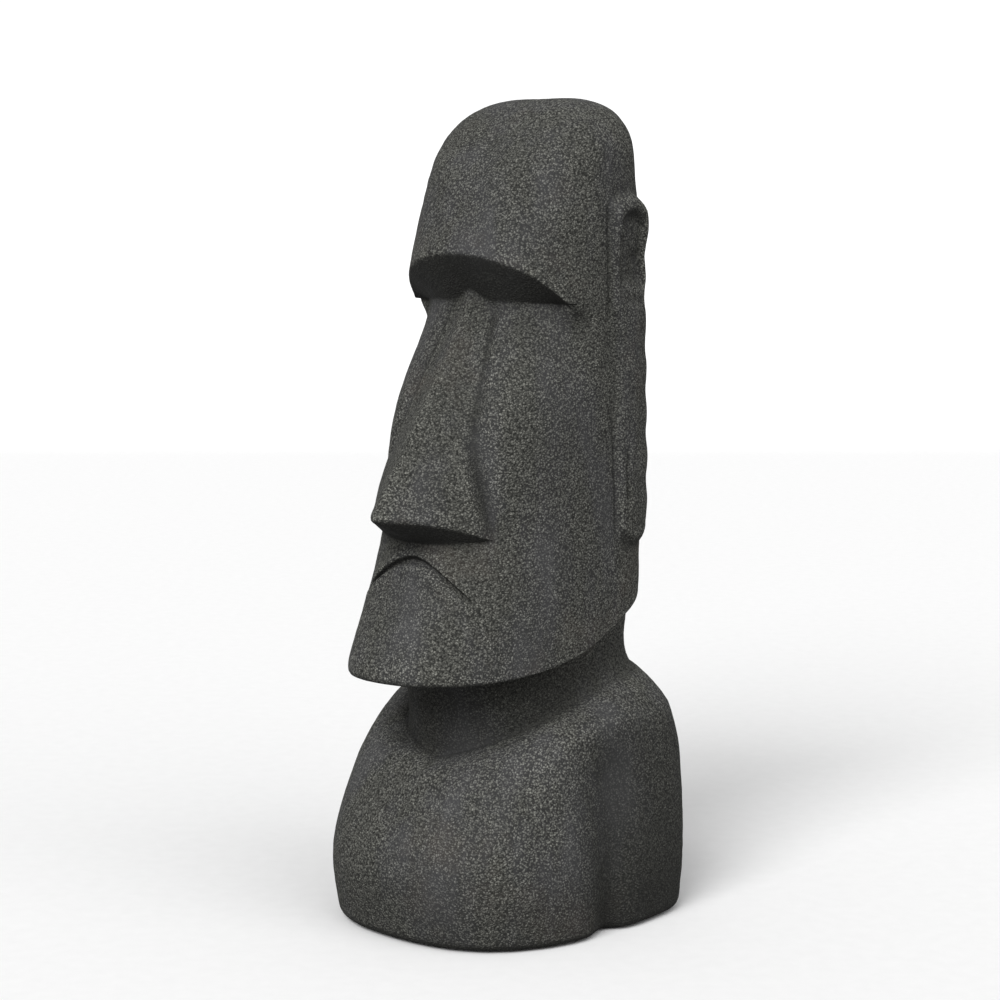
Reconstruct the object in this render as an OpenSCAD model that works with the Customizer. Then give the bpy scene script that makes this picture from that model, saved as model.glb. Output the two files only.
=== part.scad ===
// Garden figure: a tall carved-stone style head with a stub torso.
// It is a hollow cast-stone shell laid up in two halves that meet on a
// side-to-side parting plane, packed with rigid foam blocks around a welded
// steel spine, and closed underneath by a screwed base board on rubber feet.
// The face looks along -Y, the figure's own left side is +X, and +Z is up.
// Angles around the figure start at the face and grow towards +X.

/* [Heights, from the floor up] */
// Floor to the chest's upper edge at the throat
throat_h = 168; // [140:1:200]
// Throat to the edge of the jaw at the chin
neck_h = 84; // [70:1:102]
// Edge of the jaw to the mouth line
chin_h = 110; // [92:1:132]
// Mouth line to the lower front edge of the nose
lip_h = 44; // [36:1:54]
// Lower edge of the nose to the inner end of the hollow below the brow
nose_h = 197; // [164:1:238]
// Inner end of the hollow to the edge of the brow
brow_h = 48; // [40:1:58]
// Edge of the brow to the highest point of the crown
dome_h = 149; // [124:1:180]
// How much higher the jaw's edge is at the back of the head than at the chin
jaw_climb = 92; // [76:1:110]
// How far the underjaw rises from the jaw's edge to the neck
underjaw_h = 14; // [11:0.5:17]

/* [Head widths] */
// Width at the jaw
head_w = 228; // [190:2:274]
// Width at the upper lip
lip_w = 222; // [186:2:266]
// Width at the cheeks
cheek_w = 216; // [180:2:260]
// Width at the brow
brow_w = 212; // [176:2:254]
// Width that the crown would have at full height
crown_w = 200; // [166:2:240]

/* [Head depths, each from the parting plane] */
// Chin, forwards
chin_reach = 234; // [195:1:281]
// Upper lip, forwards
lip_reach = 175; // [146:1:210]
// Cheeks, forwards
cheek_reach = 165; // [137:1:198]
// Brow, forwards
brow_reach = 128; // [107:1:154]
// Crown, forwards, as it would be at full height
crown_reach = 60; // [50:1:72]
// Jaw, backwards
jaw_back = 54; // [45:1:65]
// Head behind the lip, backwards
lip_back = 71; // [59:1:85]
// Head behind the cheeks, backwards
cheek_back = 76; // [63:1:91]
// Head behind the brow, backwards
brow_back = 73; // [61:1:88]
// Crown, backwards, as it would be at full height
crown_back = 56; // [47:1:67]

/* [Head shape] */
// Thickness of the cast shell
wall = 14; // [11.5:0.5:17]
// Roundness of the face in plan, where 2 is an ellipse
face_round = 2.4; // [2:0.05:2.9]
// Roundness of the back of the head in plan
skull_round = 2.65; // [2.2:0.05:3.2]
// How far below the top the crown starts to round over, at the front
crown_front_drop = 96; // [80:1:115]
// How far below the top it starts to round over, at the back
crown_back_drop = 36; // [30:1:43]
// How far the top falls away 100 mm before or behind its highest line
crown_fall = 9.7; // [8:0.1:11.6]
// How far in front of the parting plane that line is
crown_apex = 39; // [32:1:47]

/* [Face] */
// Depth of the hollow below the brow
brow_depth = 54; // [45:1:65]
// Angle at which the brow's arch runs out on the temple
temple_angle = 53.5; // [46:0.5:64]
// How square the brow's arch is
brow_arch = 2.3; // [1.9:0.05:2.8]
// Angle at which the hollow below the brow runs out
hollow_angle = 70; // [62:1:76]
// Half width of the nose at its wings
wing_w = 68.5; // [57:0.5:76]
// Half width of the nose above its wings
nose_low_w = 56.5; // [47:0.5:66]
// Half width of the nose at its middle
nose_mid_w = 43.4; // [36:0.2:52]
// Half width of the nose at its bridge
bridge_w = 33; // [27.5:0.5:39.5]
// Half width of the nose at its root
root_w = 22; // [18.5:0.5:26.5]
// How far the nose's tip stands out of the face
tip_out = 70; // [58:1:84]
// How far the nose stands out above the tip
nose_low_out = 51.8; // [43:0.2:62]
// How far the nose stands out at its middle
nose_mid_out = 33.6; // [28:0.2:40]
// How far the nose stands out at its bridge
bridge_out = 22.5; // [19:0.5:27]
// How far the nose stands out at its root
root_out = 13; // [11:0.5:15.5]
// Swelling of the nose's flanks at the crease
nose_swell = 6; // [5:0.2:7.2]
// Drop of the nose's underside from its front edge to the lip, at the middle
nose_under = 25; // [24:0.5:30]
// Drop of the nose's wings below its front edge
wing_drop = 20; // [16.5:0.5:24]
// Height of the nose's underside at the wings
wing_under = 3; // [2.5:0.5:3.5]
// Half width of the mouth
mouth_half = 63; // [53:1:75]
// Drop of the mouth's corners below its middle
mouth_drop = 37; // [31:1:44]
// Depth of the mouth line
mouth_depth = 6.5; // [5:0.5:8]

/* [Ears] */
// Angle of the ear's front edge
ear_front = 80; // [76:0.5:84]
// Angle of the ear's back edge
ear_back = 113; // [108:0.5:118]
// How far the ear's top is below the top of the crown
ear_top_drop = 93; // [78:1:110]
// How far the lobe's tip is below the front edge of the nose
lobe_drop = 40; // [33:1:48]
// How far the ear stands out of the head
ear_out = 6.5; // [5.5:0.5:8]
// How much more it stands out at its top
bulb_out = 5; // [4:0.5:6]

/* [Neck and shoulders] */
// How far the sides of the neck are set in from the jaw
neck_inset = 20; // [16:0.5:24]
// How far the throat is set back from the chin
throat_inset = 88; // [73:1:105]
// How far the nape stands behind the parting plane
nape_reach = 60; // [50:1:70]
// How much wider the neck is at the jaw than at its foot, all round
neck_flare = 8; // [6.5:0.5:9.5]
// Fillet at the neck's foot, at the sides and the nape
nape_fillet = 10; // [8:0.5:12]
// How much higher the shoulders' upper edge is than the throat, at the sides
side_climb = 68; // [56:1:80]
// How much higher it is at the nape
nape_climb = 83; // [69:1:96]
// Rounding of the chest below that edge
chest_drop = 16; // [13:0.5:19]
// Rounding of the shoulders below it
shoulder_drop = 32; // [27:1:38]
// Rounding of the upper back below it
back_drop = 53; // [44:1:64]

/* [Torso] */
// Width at the widest, above the foot
torso_w = 316; // [262:2:380]
// Width at the chest
chest_w = 306; // [254:2:368]
// Width that the shoulders would have at the chin's level
collar_w = 256; // [214:2:308]
// How far the belly stands in front of the parting plane
belly_reach = 222; // [185:1:266]
// How far the chest stands in front of it
chest_reach = 182; // [152:1:218]
// How far the torso would stand in front of it at the chin's level
collar_reach = 60; // [50:1:72]
// How far the belly's back stands behind it
belly_back = 97; // [81:1:116]
// How far the upper back stands behind it
chest_back = 98; // [82:1:118]
// How far the torso would stand behind it at the chin's level
collar_back = 71.5; // [60:0.5:86]
// Height of the torso's widest line above the floor
belly_z = 60; // [50:1:72]
// Inset of the foot of the torso from its widest line
foot_inset = 5; // [4:0.5:6]
// Radius of the torso's lower edge
foot_edge = 8; // [6.5:0.5:9.5]
// Depth of the grooves in front of the arms
arm_groove = 14; // [11.5:0.5:17]
// Angle of the arm grooves
arm_angle = 65; // [60:0.5:70]

/* [Spine] */
// Diameter of the spine rods
rod_d = 12; // [10:0.5:14.5]
// Distance between the two spine rods
rod_pitch = 80; // [66:1:96]
// How far the rods are in front of the parting plane
rod_forward = 30; // [25:1:36]
// How far the rods end below the top of the crown
rod_cover = 112; // [93:1:135]
// Diameter of the rungs between the rods
rung_d = 8; // [6.5:0.5:9.5]
// Number of rungs
rung_count = 3; // [2:1:4]
// Thickness of the foot plate
plate_t = 6; // [5:0.5:7]
// Length of the foot plate, from front to back
plate_l = 70; // [58:1:84]
// Diameter of the plate's bolts
bolt_d = 8; // [6.5:0.5:9.5]
// Diameter of the seam's dowels
dowel_d = 6; // [5:0.5:7]
// Length of the seam's dowels
dowel_l = 24; // [20:1:29]

/* [Base] */
// Gap between the floor and the shell's lower rim
rim_gap = 2; // [1.5:0.1:2.4]
// Depth of the base board above the rim
board_recess = 6; // [5:0.5:7]
// Thickness of the base board
board_t = 12; // [10:0.5:14.5]
// Height of the cleats that the board is screwed to
cleat_h = 28; // [23:1:34]
// Width of the cleats along the shell
cleat_w = 34; // [28:1:41]
// Depth of the cleats inwards
cleat_deep = 26; // [22:1:31]
// Diameter of the rubber feet
foot_d = 40; // [33:1:48]
// Clearance between the feet and the shell's rim
foot_margin = 8; // [6.5:0.5:9.5]
// Distance between the anchor sockets from side to side
anchor_span_x = 170; // [160:2:180]
// Distance between the anchor sockets from front to back
anchor_span_y = 60; // [50:2:72]
// Diameter of the anchor sockets' bores
anchor_bore = 10; // [8.5:0.5:12]
// Diameter of the drain holes
drain_d = 12; // [10:0.5:14.5]

/* [Hidden] */

// Colours
stone = [0.27, 0.27, 0.265];
foam = [0.86, 0.87, 0.88];
steel = [0.62, 0.63, 0.65];
fibre = [0.60, 0.59, 0.56];
rubber = [0.10, 0.10, 0.10];

// Heights of the features above the floor
z_chin = throat_h + neck_h;
z_mouth = z_chin + chin_h;
z_nose = z_mouth + lip_h;
z_eye = z_nose + nose_h;
z_brow = z_eye + brow_h;
figure_h = z_brow + dome_h;
z_nape = z_chin + jaw_climb;
z_brow_in = z_nose + 2;
z_ear_top = figure_h - ear_top_drop;
z_lobe = z_nose - lobe_drop;

// Plan of the head: level, half width, front and back reach
head_low = z_chin + 10;
head_mid = z_nose - 6;
head_cheek = mix(z_nose, z_eye, 0.63);
head_wid = [
  [head_low, head_w / 2], [head_mid, lip_w / 2], [head_cheek, cheek_w / 2],
  [z_brow, brow_w / 2], [figure_h, crown_w / 2]
];
head_fwd = [
  [head_low, chin_reach], [head_mid, lip_reach], [head_cheek, cheek_reach],
  [z_brow, brow_reach], [figure_h, crown_reach]
];
head_aft = [
  [head_low, jaw_back], [head_mid, lip_back], [head_cheek, cheek_back],
  [z_brow, brow_back], [figure_h, crown_back]
];

// Plan of the torso
z_chest = throat_h - 18;
z_collar = z_chin + 8;
torso_wid = [
  [0, torso_w / 2 - foot_inset], [belly_z, torso_w / 2],
  [z_chest, chest_w / 2], [z_collar, collar_w / 2]
];
torso_fwd = [
  [0, belly_reach - 1.5 * foot_inset], [belly_z, belly_reach],
  [z_chest, chest_reach], [z_collar, collar_reach]
];
torso_aft = [
  [0, belly_back - 0.3 * foot_inset], [belly_z, belly_back],
  [z_chest, chest_back], [z_collar, collar_back]
];
belly_round = 2.6;
spine_round = 2.8;
neck_round = 2.5;
groove_width = 6.5;
groove_spread = 8;
groove_top = throat_h + 44;
groove_fade = 60;

// Nose outline: level against half width and against projection
nose_foot = z_nose - 20;
nose_low = mix(z_nose, z_eye, 0.127);
nose_mid = mix(z_nose, z_eye, 0.381);
nose_bridge = mix(z_nose, z_eye, 0.685);
nose_root = z_eye + 9;
nose_top = z_eye + 16;
nose_widths = [
  [nose_foot, wing_w], [nose_low, nose_low_w], [nose_mid, nose_mid_w],
  [nose_bridge, bridge_w], [nose_root, root_w]
];
nose_outs = [
  [z_nose - 7, tip_out], [nose_low, nose_low_out], [nose_mid, nose_mid_out],
  [nose_bridge, bridge_out], [nose_root, root_out]
];
ridge_round = 0.03;
crease_set = 1.5;
blend = 2;

// Shape of the cheeks and the ears
hollow_drop = 1.2;
hollow_start = 24;
cheek_full = 2;
cheek_angle = 50;
lobe_in = 3.5;
bulb_spread = 26;
nape_spread = 13;
neck_step = 1;
jaw_slope = 0.6;

// Crown
crown_soft_front = 0.78;
crown_soft_back = 0.52;
crown_rise = 0.94;

// The parting plane lies this far behind the origin, so that the origin is
// the middle of the figure's outline on the floor
nose_reach = curve(head_fwd, z_nose) + curve(nose_outs, z_nose);
axis_y = (max(nose_reach, chin_reach) - max(belly_back, chest_back)) / 2;

// Clearances
bond = 0.5;
slip = 0.3;

// Rows of the shell, from the foot to the crown, for each stretch; every
// count is even, because the inner face has half as many
FOOT = 0;
TORSO = 1;
SHOULDER = 2;
NECK = 3;
UNDERJAW = 4;
CHIN = 5;
MOUTH = 6;
LIP = 7;
NOSTRIL = 8;
CHEEK = 9;
HOLLOW = 10;
FOREHEAD = 11;
CROWN = 12;
rows = [2, 8, 6, 2, 2, 4, 2, 2, 2, 12, 4, 8, 8];
stretch_of = [for (s = [0:len(rows) - 1]) for (i = [0:rows[s] - 1]) [s, i / rows[s]]];
row_count = len(stretch_of);

// Columns, as shares between guide angles
nose_shares = [0, 0.34, 0.67, 0.94, 1.03];
cheek_steps = 8;
back_angles = [
  90, 100, ear_back - 4, ear_back, ear_back + 8, 130, 140, 150, 160, 170, 180
];

// Curve through knots with slopes that never overshoot
function slope(k, i) = (k[i + 1][1] - k[i][1]) / (k[i + 1][0] - k[i][0]);
function tangent(k, i) =
  i == 0 ? slope(k, 0)
  : i == len(k) - 1 ? slope(k, i - 1)
  : slope(k, i - 1) * slope(k, i) <= 0 ? 0
  : 2 * slope(k, i - 1) * slope(k, i) / (slope(k, i - 1) + slope(k, i));
function span(k, t, i = 0) = i >= len(k) - 2 || t < k[i + 1][0] ? i : span(k, t, i + 1);
function clamp(t, low, high) = min(max(t, low), high);
function curve(k, t) =
  let (
    c = clamp(t, k[0][0], k[len(k) - 1][0]),
    i = span(k, c),
    h = k[i + 1][0] - k[i][0],
    u = (c - k[i][0]) / h
  )
  (2 * u ^ 3 - 3 * u ^ 2 + 1) * k[i][1] + (u ^ 3 - 2 * u ^ 2 + u) * h * tangent(k, i)
  + (3 * u ^ 2 - 2 * u ^ 3) * k[i + 1][1] + (u ^ 3 - u ^ 2) * h * tangent(k, i + 1);
function ease(t) = let (u = clamp(t, 0, 1)) u * u * (3 - 2 * u);
function mix(a, b, t) = a + (b - a) * t;

// Rounded plan outline as a radius about the parting plane's axis
function plan(a, half, fwd, aft, n_fwd, n_aft) =
  let (
    n = cos(a) > 0 ? n_fwd : n_aft,
    reach = cos(a) > 0 ? fwd : aft
  )
  pow(pow(abs(sin(a)) / half, n) + pow(abs(cos(a)) / reach, n), -1 / n);
function head_r(a, z) =
  plan(a, curve(head_wid, z), curve(head_fwd, z), curve(head_aft, z), face_round, skull_round);
function torso_r(a, z) =
  let (off = (abs(a) - arm_angle) / (groove_width + groove_spread * ease(z / groove_top)))
  plan(a, curve(torso_wid, z), curve(torso_fwd, z), curve(torso_aft, z), belly_round, spine_round)
  - arm_groove * exp(-(off ^ 2)) * ease((groove_top - z) / groove_fade);
function neck_r(a) =
  plan(a, head_w / 2 - neck_inset, chin_reach - throat_inset, nape_reach, neck_round, neck_round);
function neck_foot_r(a) = neck_r(a) + nape_fillet * ease((abs(a) - 40) / 50);

// Face below the brow, the nose and the ear
function brow_share(a) = max(1 - (abs(a) / temple_angle) ^ brow_arch, 0);
function hollow_share(z) = ease((z - z_brow_in) / (z_eye - z_brow_in));
function face_r(a, z) =
  let (
    across = max(1 - (abs(a) / hollow_angle) ^ hollow_drop, 0),
    down = hollow_share(z) ^ (1 + cheek_full * ease(abs(a) / cheek_angle)),
    start = mix(1, ease((z_eye + 1 - z) / hollow_start), ease((abs(a) - cheek_angle) / 10))
  )
  head_r(a, z) - brow_depth * across * down * start;
function face_reach(z) = curve(head_fwd, z) - brow_depth * hollow_share(z);
function crease_reach(z) =
  let (share = min(curve(nose_widths, z) / curve(head_wid, z), 0.95))
  face_reach(z) * pow(1 - share ^ face_round, 1 / face_round) - crease_set;
function crease_angle(z) = atan2(curve(nose_widths, z), crease_reach(z));
function nose_r(a, z) =
  let (
    tip = face_reach(z) + curve(nose_outs, z),
    rise = tip - crease_reach(z),
    side = sqrt(sin(a) ^ 2 + ridge_round ^ 2) - ridge_round,
    share = abs(a) / crease_angle(z),
    lift = nose_swell * ease(rise / 60) + 2
  )
  share >= 1 ? 0
  : tip / (cos(a) + rise / curve(nose_widths, z) * side) + lift * share * sqrt(1 - share ^ 8);
function larger(a, b) =
  let (d = b - a)
  d > blend ? b : d < -blend ? a : a + (d + blend) ^ 2 / (4 * blend);
function ear_r(a, z) =
  let (
    front = ear_front + lobe_in * ease((z_eye + 18 - z) / 240),
    across = clamp((abs(a) - front) / (ear_back - front), 0, 1),
    end = 12 * (2 * across - 1) ^ 2,
    out = ear_out + bulb_out * exp(-((z - z_ear_top + 23) / bulb_spread) ^ 2)
  )
  out * ease((abs(a) - front) / 2.5) * ease((ear_back - abs(a)) / 3.5)
  * ease((z_ear_top - end - z) / 7) * ease((z - z_lobe - end) / 7);

// Guide levels around the figure
function z_jaw(a) = mix(z_chin, z_nape, ease(abs(a) / 150) ^ 1.54);
function z_tip(a) = z_nose - wing_drop * clamp((abs(a) / 25) ^ 2, 0, 1);
function z_root(a) =
  let (
    share = abs(a) / crease_angle(z_nose),
    rise = nose_under - wing_drop - wing_under,
    inside = z_nose - nose_under + rise * clamp(share, 0, 1) ^ 2
  )
  mix(min(inside, z_tip(a) - 1), z_tip(a) - 0.6, ease((share - 0.97) / 0.12));

// The neck at the jaw stays inside the head, and the underjaw dies out with
// the overhang
function neck_top_r(a) = min(neck_r(a) + neck_flare, face_r(a, z_jaw(a)) - neck_step);
function jaw_rise(a) = min(underjaw_h, jaw_slope * (face_r(a, z_jaw(a)) - neck_top_r(a)));
function mouth_share(a) = abs(face_r(a, z_mouth) * sin(a)) / mouth_half;
function z_lips(a) =
  mix(
    z_mouth + 2 - mouth_drop * clamp(mouth_share(a), 0, 1.3) ^ 1.75,
    mix(z_jaw(a), z_root(a), 0.45),
    ease((abs(a) - 20) / 22)
  );
function mouth_cut(a) = cos(a) > 0 ? ease((1.08 - mouth_share(a)) / 0.3) : 0;
function z_brow_edge(a) = z_eye + max((z_brow - z_eye) * brow_share(a), 1);
function z_crease(a) = throat_h + curve([[0, 0], [90, side_climb], [180, nape_climb]], abs(a));
function z_shoulder(a) =
  z_crease(a) - curve([[0, chest_drop], [90, shoulder_drop], [180, back_drop]], abs(a));
function z_crown(a) =
  figure_h
  - curve([[0, crown_front_drop], [90, (crown_front_drop + crown_back_drop) / 2 - 4],
           [180, crown_back_drop]], abs(a));

// Point at angle a with radius r, moved to the figure's origin
function at(a, r, z) = [r * sin(a), axis_y - r * cos(a), z];

// One point of the shell. inset is 0 on the outer face; on an inner face it
// is the depth below the outer one, and the small features are left out
function foot_point(a, t, inset) =
  let (
    h = foot_edge * (1 - cos(90 * t)),
    z = rim_gap + (inset > 0 ? foot_edge * t : h)
  )
  at(a, torso_r(a, z) - (inset > 0 ? inset : foot_edge * (1 - sin(90 * t))), z);
function torso_point(a, t, inset) =
  let (z = mix(rim_gap + foot_edge, z_shoulder(a) - 0.5 * inset, t))
  at(a, torso_r(a, z) - inset, z);
function shoulder_point(a, t, inset) =
  let (
    p = mix(1, 1.27, ease(abs(a) / 90)),
    z = mix(z_shoulder(a) - 0.5 * inset, z_crease(a) - inset, sin(90 * t) ^ p),
    neck = neck_foot_r(a) - inset
  )
  at(a, neck + max(torso_r(a, z) - inset - neck, 0) * cos(90 * t) ^ p, z);
function neck_point(a, t, inset) =
  let (
    low = z_crease(a) - inset,
    z = mix(low, z_jaw(a) + jaw_rise(a) + inset, t),
    fillet = (neck_foot_r(a) - neck_r(a)) * exp(-(z - low) / nape_spread)
  )
  at(a, mix(neck_r(a), neck_top_r(a), t ^ 2) + fillet - inset, z);
function underjaw_point(a, t, inset) =
  let (z = mix(z_jaw(a) + jaw_rise(a), z_jaw(a), t) + inset)
  at(a, mix(neck_top_r(a), face_r(a, z_jaw(a)), t) - inset, z);
function face_point(a, low, high, t, inset) =
  let (z = mix(low, high, t))
  at(a, face_r(a, z) - inset + (inset > 0 ? 0 : ear_r(a, z)), z);
function mouth_point(a, t, inset) =
  let (z = z_lips(a) + (t - 0.5) * 10)
  at(a, face_r(a, z) - inset - (inset > 0 || abs(t - 0.5) > 0.1 ? 0 : mouth_depth * mouth_cut(a)), z);
function nostril_point(a, t, inset) =
  let (
    z = mix(z_root(a), z_tip(a), t),
    tip = larger(face_r(a, z_tip(a)), nose_r(a, z_tip(a))),
    outer = mix(face_r(a, z_root(a)), tip, t) + ear_r(a, z)
  )
  at(a, inset > 0 ? face_r(a, z) - inset : outer, z);
function cheek_point(a, t, inset) =
  let (z = mix(z_tip(a), z_eye + 0.5 * inset, t))
  at(a, inset > 0 ? face_r(a, z) - inset : larger(face_r(a, z), nose_r(a, z)) + ear_r(a, z), z);
function hollow_point(a, t, inset) =
  let (
    z = mix(z_eye, z_brow_edge(a), t),
    r = mix(face_r(a, z_eye), head_r(a, z_brow_edge(a)), t)
  )
  inset > 0 ? at(a, r - inset, z + 0.5 * inset)
  : at(a, larger(r, z < nose_top ? nose_r(a, z) : 0) + ear_r(a, z), z);
function forehead_point(a, t, inset) =
  let (z = mix(z_brow_edge(a) + 0.5 * inset, z_crown(a) - 0.3 * inset, t))
  at(a, head_r(a, z) - inset + (inset > 0 ? 0 : ear_r(a, z)), z);
function crown_point(a, t, inset) =
  let (
    soft = cos(90 * t) ^ mix(crown_soft_front, crown_soft_back, ease(abs(a) / 150)),
    low = z_crown(a) - 0.3 * inset,
    y = -(head_r(a, low) - inset) * soft * cos(a),
    top = figure_h - inset - crown_fall * ((crown_apex - y) / 100) ^ 2,
    z = mix(low, top, sin(90 * t) ^ crown_rise)
  )
  at(a, (head_r(a, z) - inset) * soft, z);
function skin_point(a, s, t, inset) =
  s == FOOT ? foot_point(a, t, inset)
  : s == TORSO ? torso_point(a, t, inset)
  : s == SHOULDER ? shoulder_point(a, t, inset)
  : s == NECK ? neck_point(a, t, inset)
  : s == UNDERJAW ? underjaw_point(a, t, inset)
  : s == CHIN ? face_point(a, z_jaw(a) + inset, z_lips(a) - 5, t, inset)
  : s == MOUTH ? mouth_point(a, t, inset)
  : s == LIP ? face_point(a, z_lips(a) + 5, z_root(a), t, inset)
  : s == NOSTRIL ? nostril_point(a, t, inset)
  : s == CHEEK ? cheek_point(a, t, inset)
  : s == HOLLOW ? hollow_point(a, t, inset)
  : s == FOREHEAD ? forehead_point(a, t, inset)
  : crown_point(a, t, inset);

// Angles of a row's columns: the nose's crease and the ear's edge are columns
function front_angles(c) =
  let (
    half = concat(
      [for (f = nose_shares) f * c],
      [for (i = [1:cheek_steps]) mix(1.03 * c, ear_front, i / cheek_steps)],
      [ear_front + 2.5, 90]
    )
  )
  concat([for (i = [len(half) - 1:-1:1]) -half[i]], half);
function rear_angles() =
  let (n = len(back_angles) - 1)
  concat([for (i = [0:n]) back_angles[i]], [for (i = [n - 1:-1:0]) 360 - back_angles[i]]);
function turn(a) = a > 180 ? a - 360 : a;
function columns(is_front, z) = is_front ? front_angles(crease_angle(z)) : rear_angles();

// One row of points around a half shell
function ring(is_front, s, t, inset, step) =
  let (
    z = skin_point(0, s, t, 0)[2],
    angles = columns(is_front, clamp(z, z_nose, z_eye))
  )
  [for (j = [0:step:len(angles) - 1]) skin_point(turn(angles[j]), s, t, inset)];
function half_rows(is_front, inset, step) =
  [for (i = [0:step:row_count - 1]) ring(is_front, stretch_of[i][0], stretch_of[i][1], inset, step)];
function apex(inset) = [0, axis_y, figure_h - inset - crown_fall * (crown_apex / 100) ^ 2];

// Faces of a grid of rows n long, starting at point base
function grid_faces(base, count, n, flip) =
  [for (i = [0:count - 2]) for (j = [0:n - 2])
    let (p = base + i * n + j, q = p + n)
    each flip ? [[p, q, p + 1], [p + 1, q, q + 1]] : [[p, p + 1, q], [p + 1, q + 1, q]]];
function cap_faces(base, n, tip, flip) =
  [for (j = [0:n - 2]) flip ? [base + j, tip, base + j + 1] : [base + j, base + j + 1, tip]];
// Strip between a fine edge and a coarse edge with half as many points
function zip_faces(fine, coarse, flip) =
  [for (i = [0:len(coarse) - 2])
    let (a = fine[2 * i], b = fine[2 * i + 1], c = fine[2 * i + 2], p = coarse[i], q = coarse[i + 1])
    each flip ? [[a, p, b], [b, p, q], [b, q, c]] : [[a, b, p], [b, q, p], [b, c, q]]];

// Half of the casting: outer face, inner face, seam faces and foot rim
module half_shell(is_front) {
  outer = half_rows(is_front, 0, 1);
  inner = half_rows(is_front, wall, 2);
  n = len(outer[0]);
  m = len(inner[0]);
  tip = len(outer) * n;
  base = tip + 1;
  tip_in = base + len(inner) * m;
  points = concat([for (r = outer) each r], [apex(0)], [for (r = inner) each r], [apex(wall)]);
  left_out = concat([for (i = [0:len(outer) - 1]) i * n], [tip]);
  left_in = concat([for (i = [0:len(inner) - 1]) base + i * m], [tip_in]);
  right_out = concat([for (i = [0:len(outer) - 1]) i * n + n - 1], [tip]);
  right_in = concat([for (i = [0:len(inner) - 1]) base + i * m + m - 1], [tip_in]);
  polyhedron(
    points = points,
    faces = concat(
      grid_faces(0, len(outer), n, true),
      cap_faces(tip - n, n, tip, true),
      grid_faces(base, len(inner), m, false),
      cap_faces(tip_in - m, m, tip_in, false),
      zip_faces(left_out, left_in, true),
      zip_faces(right_out, right_in, false),
      zip_faces([for (j = [0:n - 1]) j], [for (j = [0:m - 1]) base + j], false)
    )
  );
}

// The filling of the hollow, one bond line inside the shell
module filling() {
  front = half_rows(true, wall + bond, 2);
  back = half_rows(false, wall + bond, 2);
  rings = [for (i = [0:len(front) - 1])
    concat(front[i], [for (j = [1:len(back[i]) - 2]) back[i][j]])];
  n = len(rings[0]);
  count = len(rings);
  tip = count * n;
  polyhedron(
    points = concat([for (r = rings) each r], [apex(wall + bond)]),
    faces = concat(
      [for (i = [0:count - 2]) for (j = [0:n - 1])
        let (p = i * n + j, q = i * n + (j + 1) % n)
        each [[p, p + n, q], [q, p + n, q + n]]],
      [for (j = [0:n - 1]) [(count - 1) * n + j, tip, (count - 1) * n + (j + 1) % n]],
      [[for (j = [0:n - 1]) j]]
    )
  );
}

// Base, spine and fixing sizes that follow from the ones above
board_z = rim_gap + board_recess;
board_top = board_z + board_t;
board_gap = 1;
plate_edge = 30;
plate_w = rod_pitch + 2 * plate_edge;
spine_y = axis_y - rod_forward;
rod_r = rod_d / 2;
rod_top = figure_h - rod_cover;
rung_r = rung_d / 2;
core_gap = 4;
core_low = board_top + cleat_h + core_gap;
core_split = z_chin + 4;
dowel_r = dowel_d / 2;
dowel_half = dowel_l / 2;
dowel_levels = [
  belly_z, throat_h - 32, z_mouth - 26, z_nose + 34, mix(z_nose, z_eye, 0.74), z_brow + 14
];
cleat_angles = [0, 52, 95, 180, -95, -52];
cleat_margin = 3;
screw_r = 2.4;
screw_head_r = 5;
screw_head_h = 3;
screw_bite = 18;
screw_len = board_t + screw_bite;
bolt_r = bolt_d / 2;
bolt_head_r = bolt_r + 2.5;
bolt_head_h = 5;
bolt_x = plate_w / 2 - 12;
bolt_y = plate_l / 2 - 14;
nut_h = 6.5;
socket_r = anchor_bore / 2 + 3;
flange_r = anchor_bore / 2 + 7;
flange_t = 2;
foot_screw_r = 2;
foot_head_r = 4.5;
foot_sink = 4;
foot_angles = [-28, 28, 128, -128];
drain_r = drain_d / 2;
drain_places = [-0.15, -0.4];

// Plan outline of the space inside the shell's foot
function foot_outline(gap) =
  [for (is_front = [true, false])
    let (angles = columns(is_front, z_nose), last = len(angles) - (is_front ? 1 : 3))
    for (j = [is_front ? 0 : 2:2:last])
      let (a = turn(angles[j]), p = at(a, torso_r(a, rim_gap) - wall - gap, 0)) [p[0], p[1]]];
function foot_place(a) =
  let (p = at(a, torso_r(a, rim_gap) - wall - foot_margin - foot_d / 2, 0)) [p[0], p[1]];
function foot_places() = [for (a = foot_angles) foot_place(a)];
function anchor_places() =
  [for (x = [-1, 1]) for (y = [-1, 1]) [x * anchor_span_x / 2, y * anchor_span_y / 2]];
function bolt_places() = [for (x = [-1, 1]) for (y = [-1, 1]) [x * bolt_x, spine_y + y * bolt_y]];
function cleat_place(a) =
  let (p = at(a, torso_r(a, rim_gap) - wall - cleat_deep / 2 - cleat_margin, 0)) [p[0], p[1]];
function dowel_place(side, z) =
  let (r = z < throat_h ? torso_r(90, z) : face_r(90, z))
  [side * (r - wall / 2), z];

module post(r, h) {
  cylinder(r = r, h = h, $fn = 48);
}

module dowels(r, half_len) {
  for (side = [-1, 1])
    for (z = dowel_levels)
      translate([dowel_place(side, z)[0], axis_y + half_len, z])
        rotate([90, 0, 0])
          post(r, 2 * half_len);
}

module rods(r, low, high) {
  for (side = [-1, 1])
    translate([side * rod_pitch / 2, spine_y, low])
      post(r, high - low);
}

module rungs(r) {
  for (i = [1:rung_count])
    translate([-rod_pitch / 2, spine_y, mix(core_low, rod_top, (i - 0.4) / rung_count)])
      rotate([0, 90, 0])
        post(r, rod_pitch);
}

module bored_shell(is_front) {
  resize([0, 0, 0])
    difference() {
      half_shell(is_front);
      dowels(dowel_r + slip, dowel_half + bond);
    }
}

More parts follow.
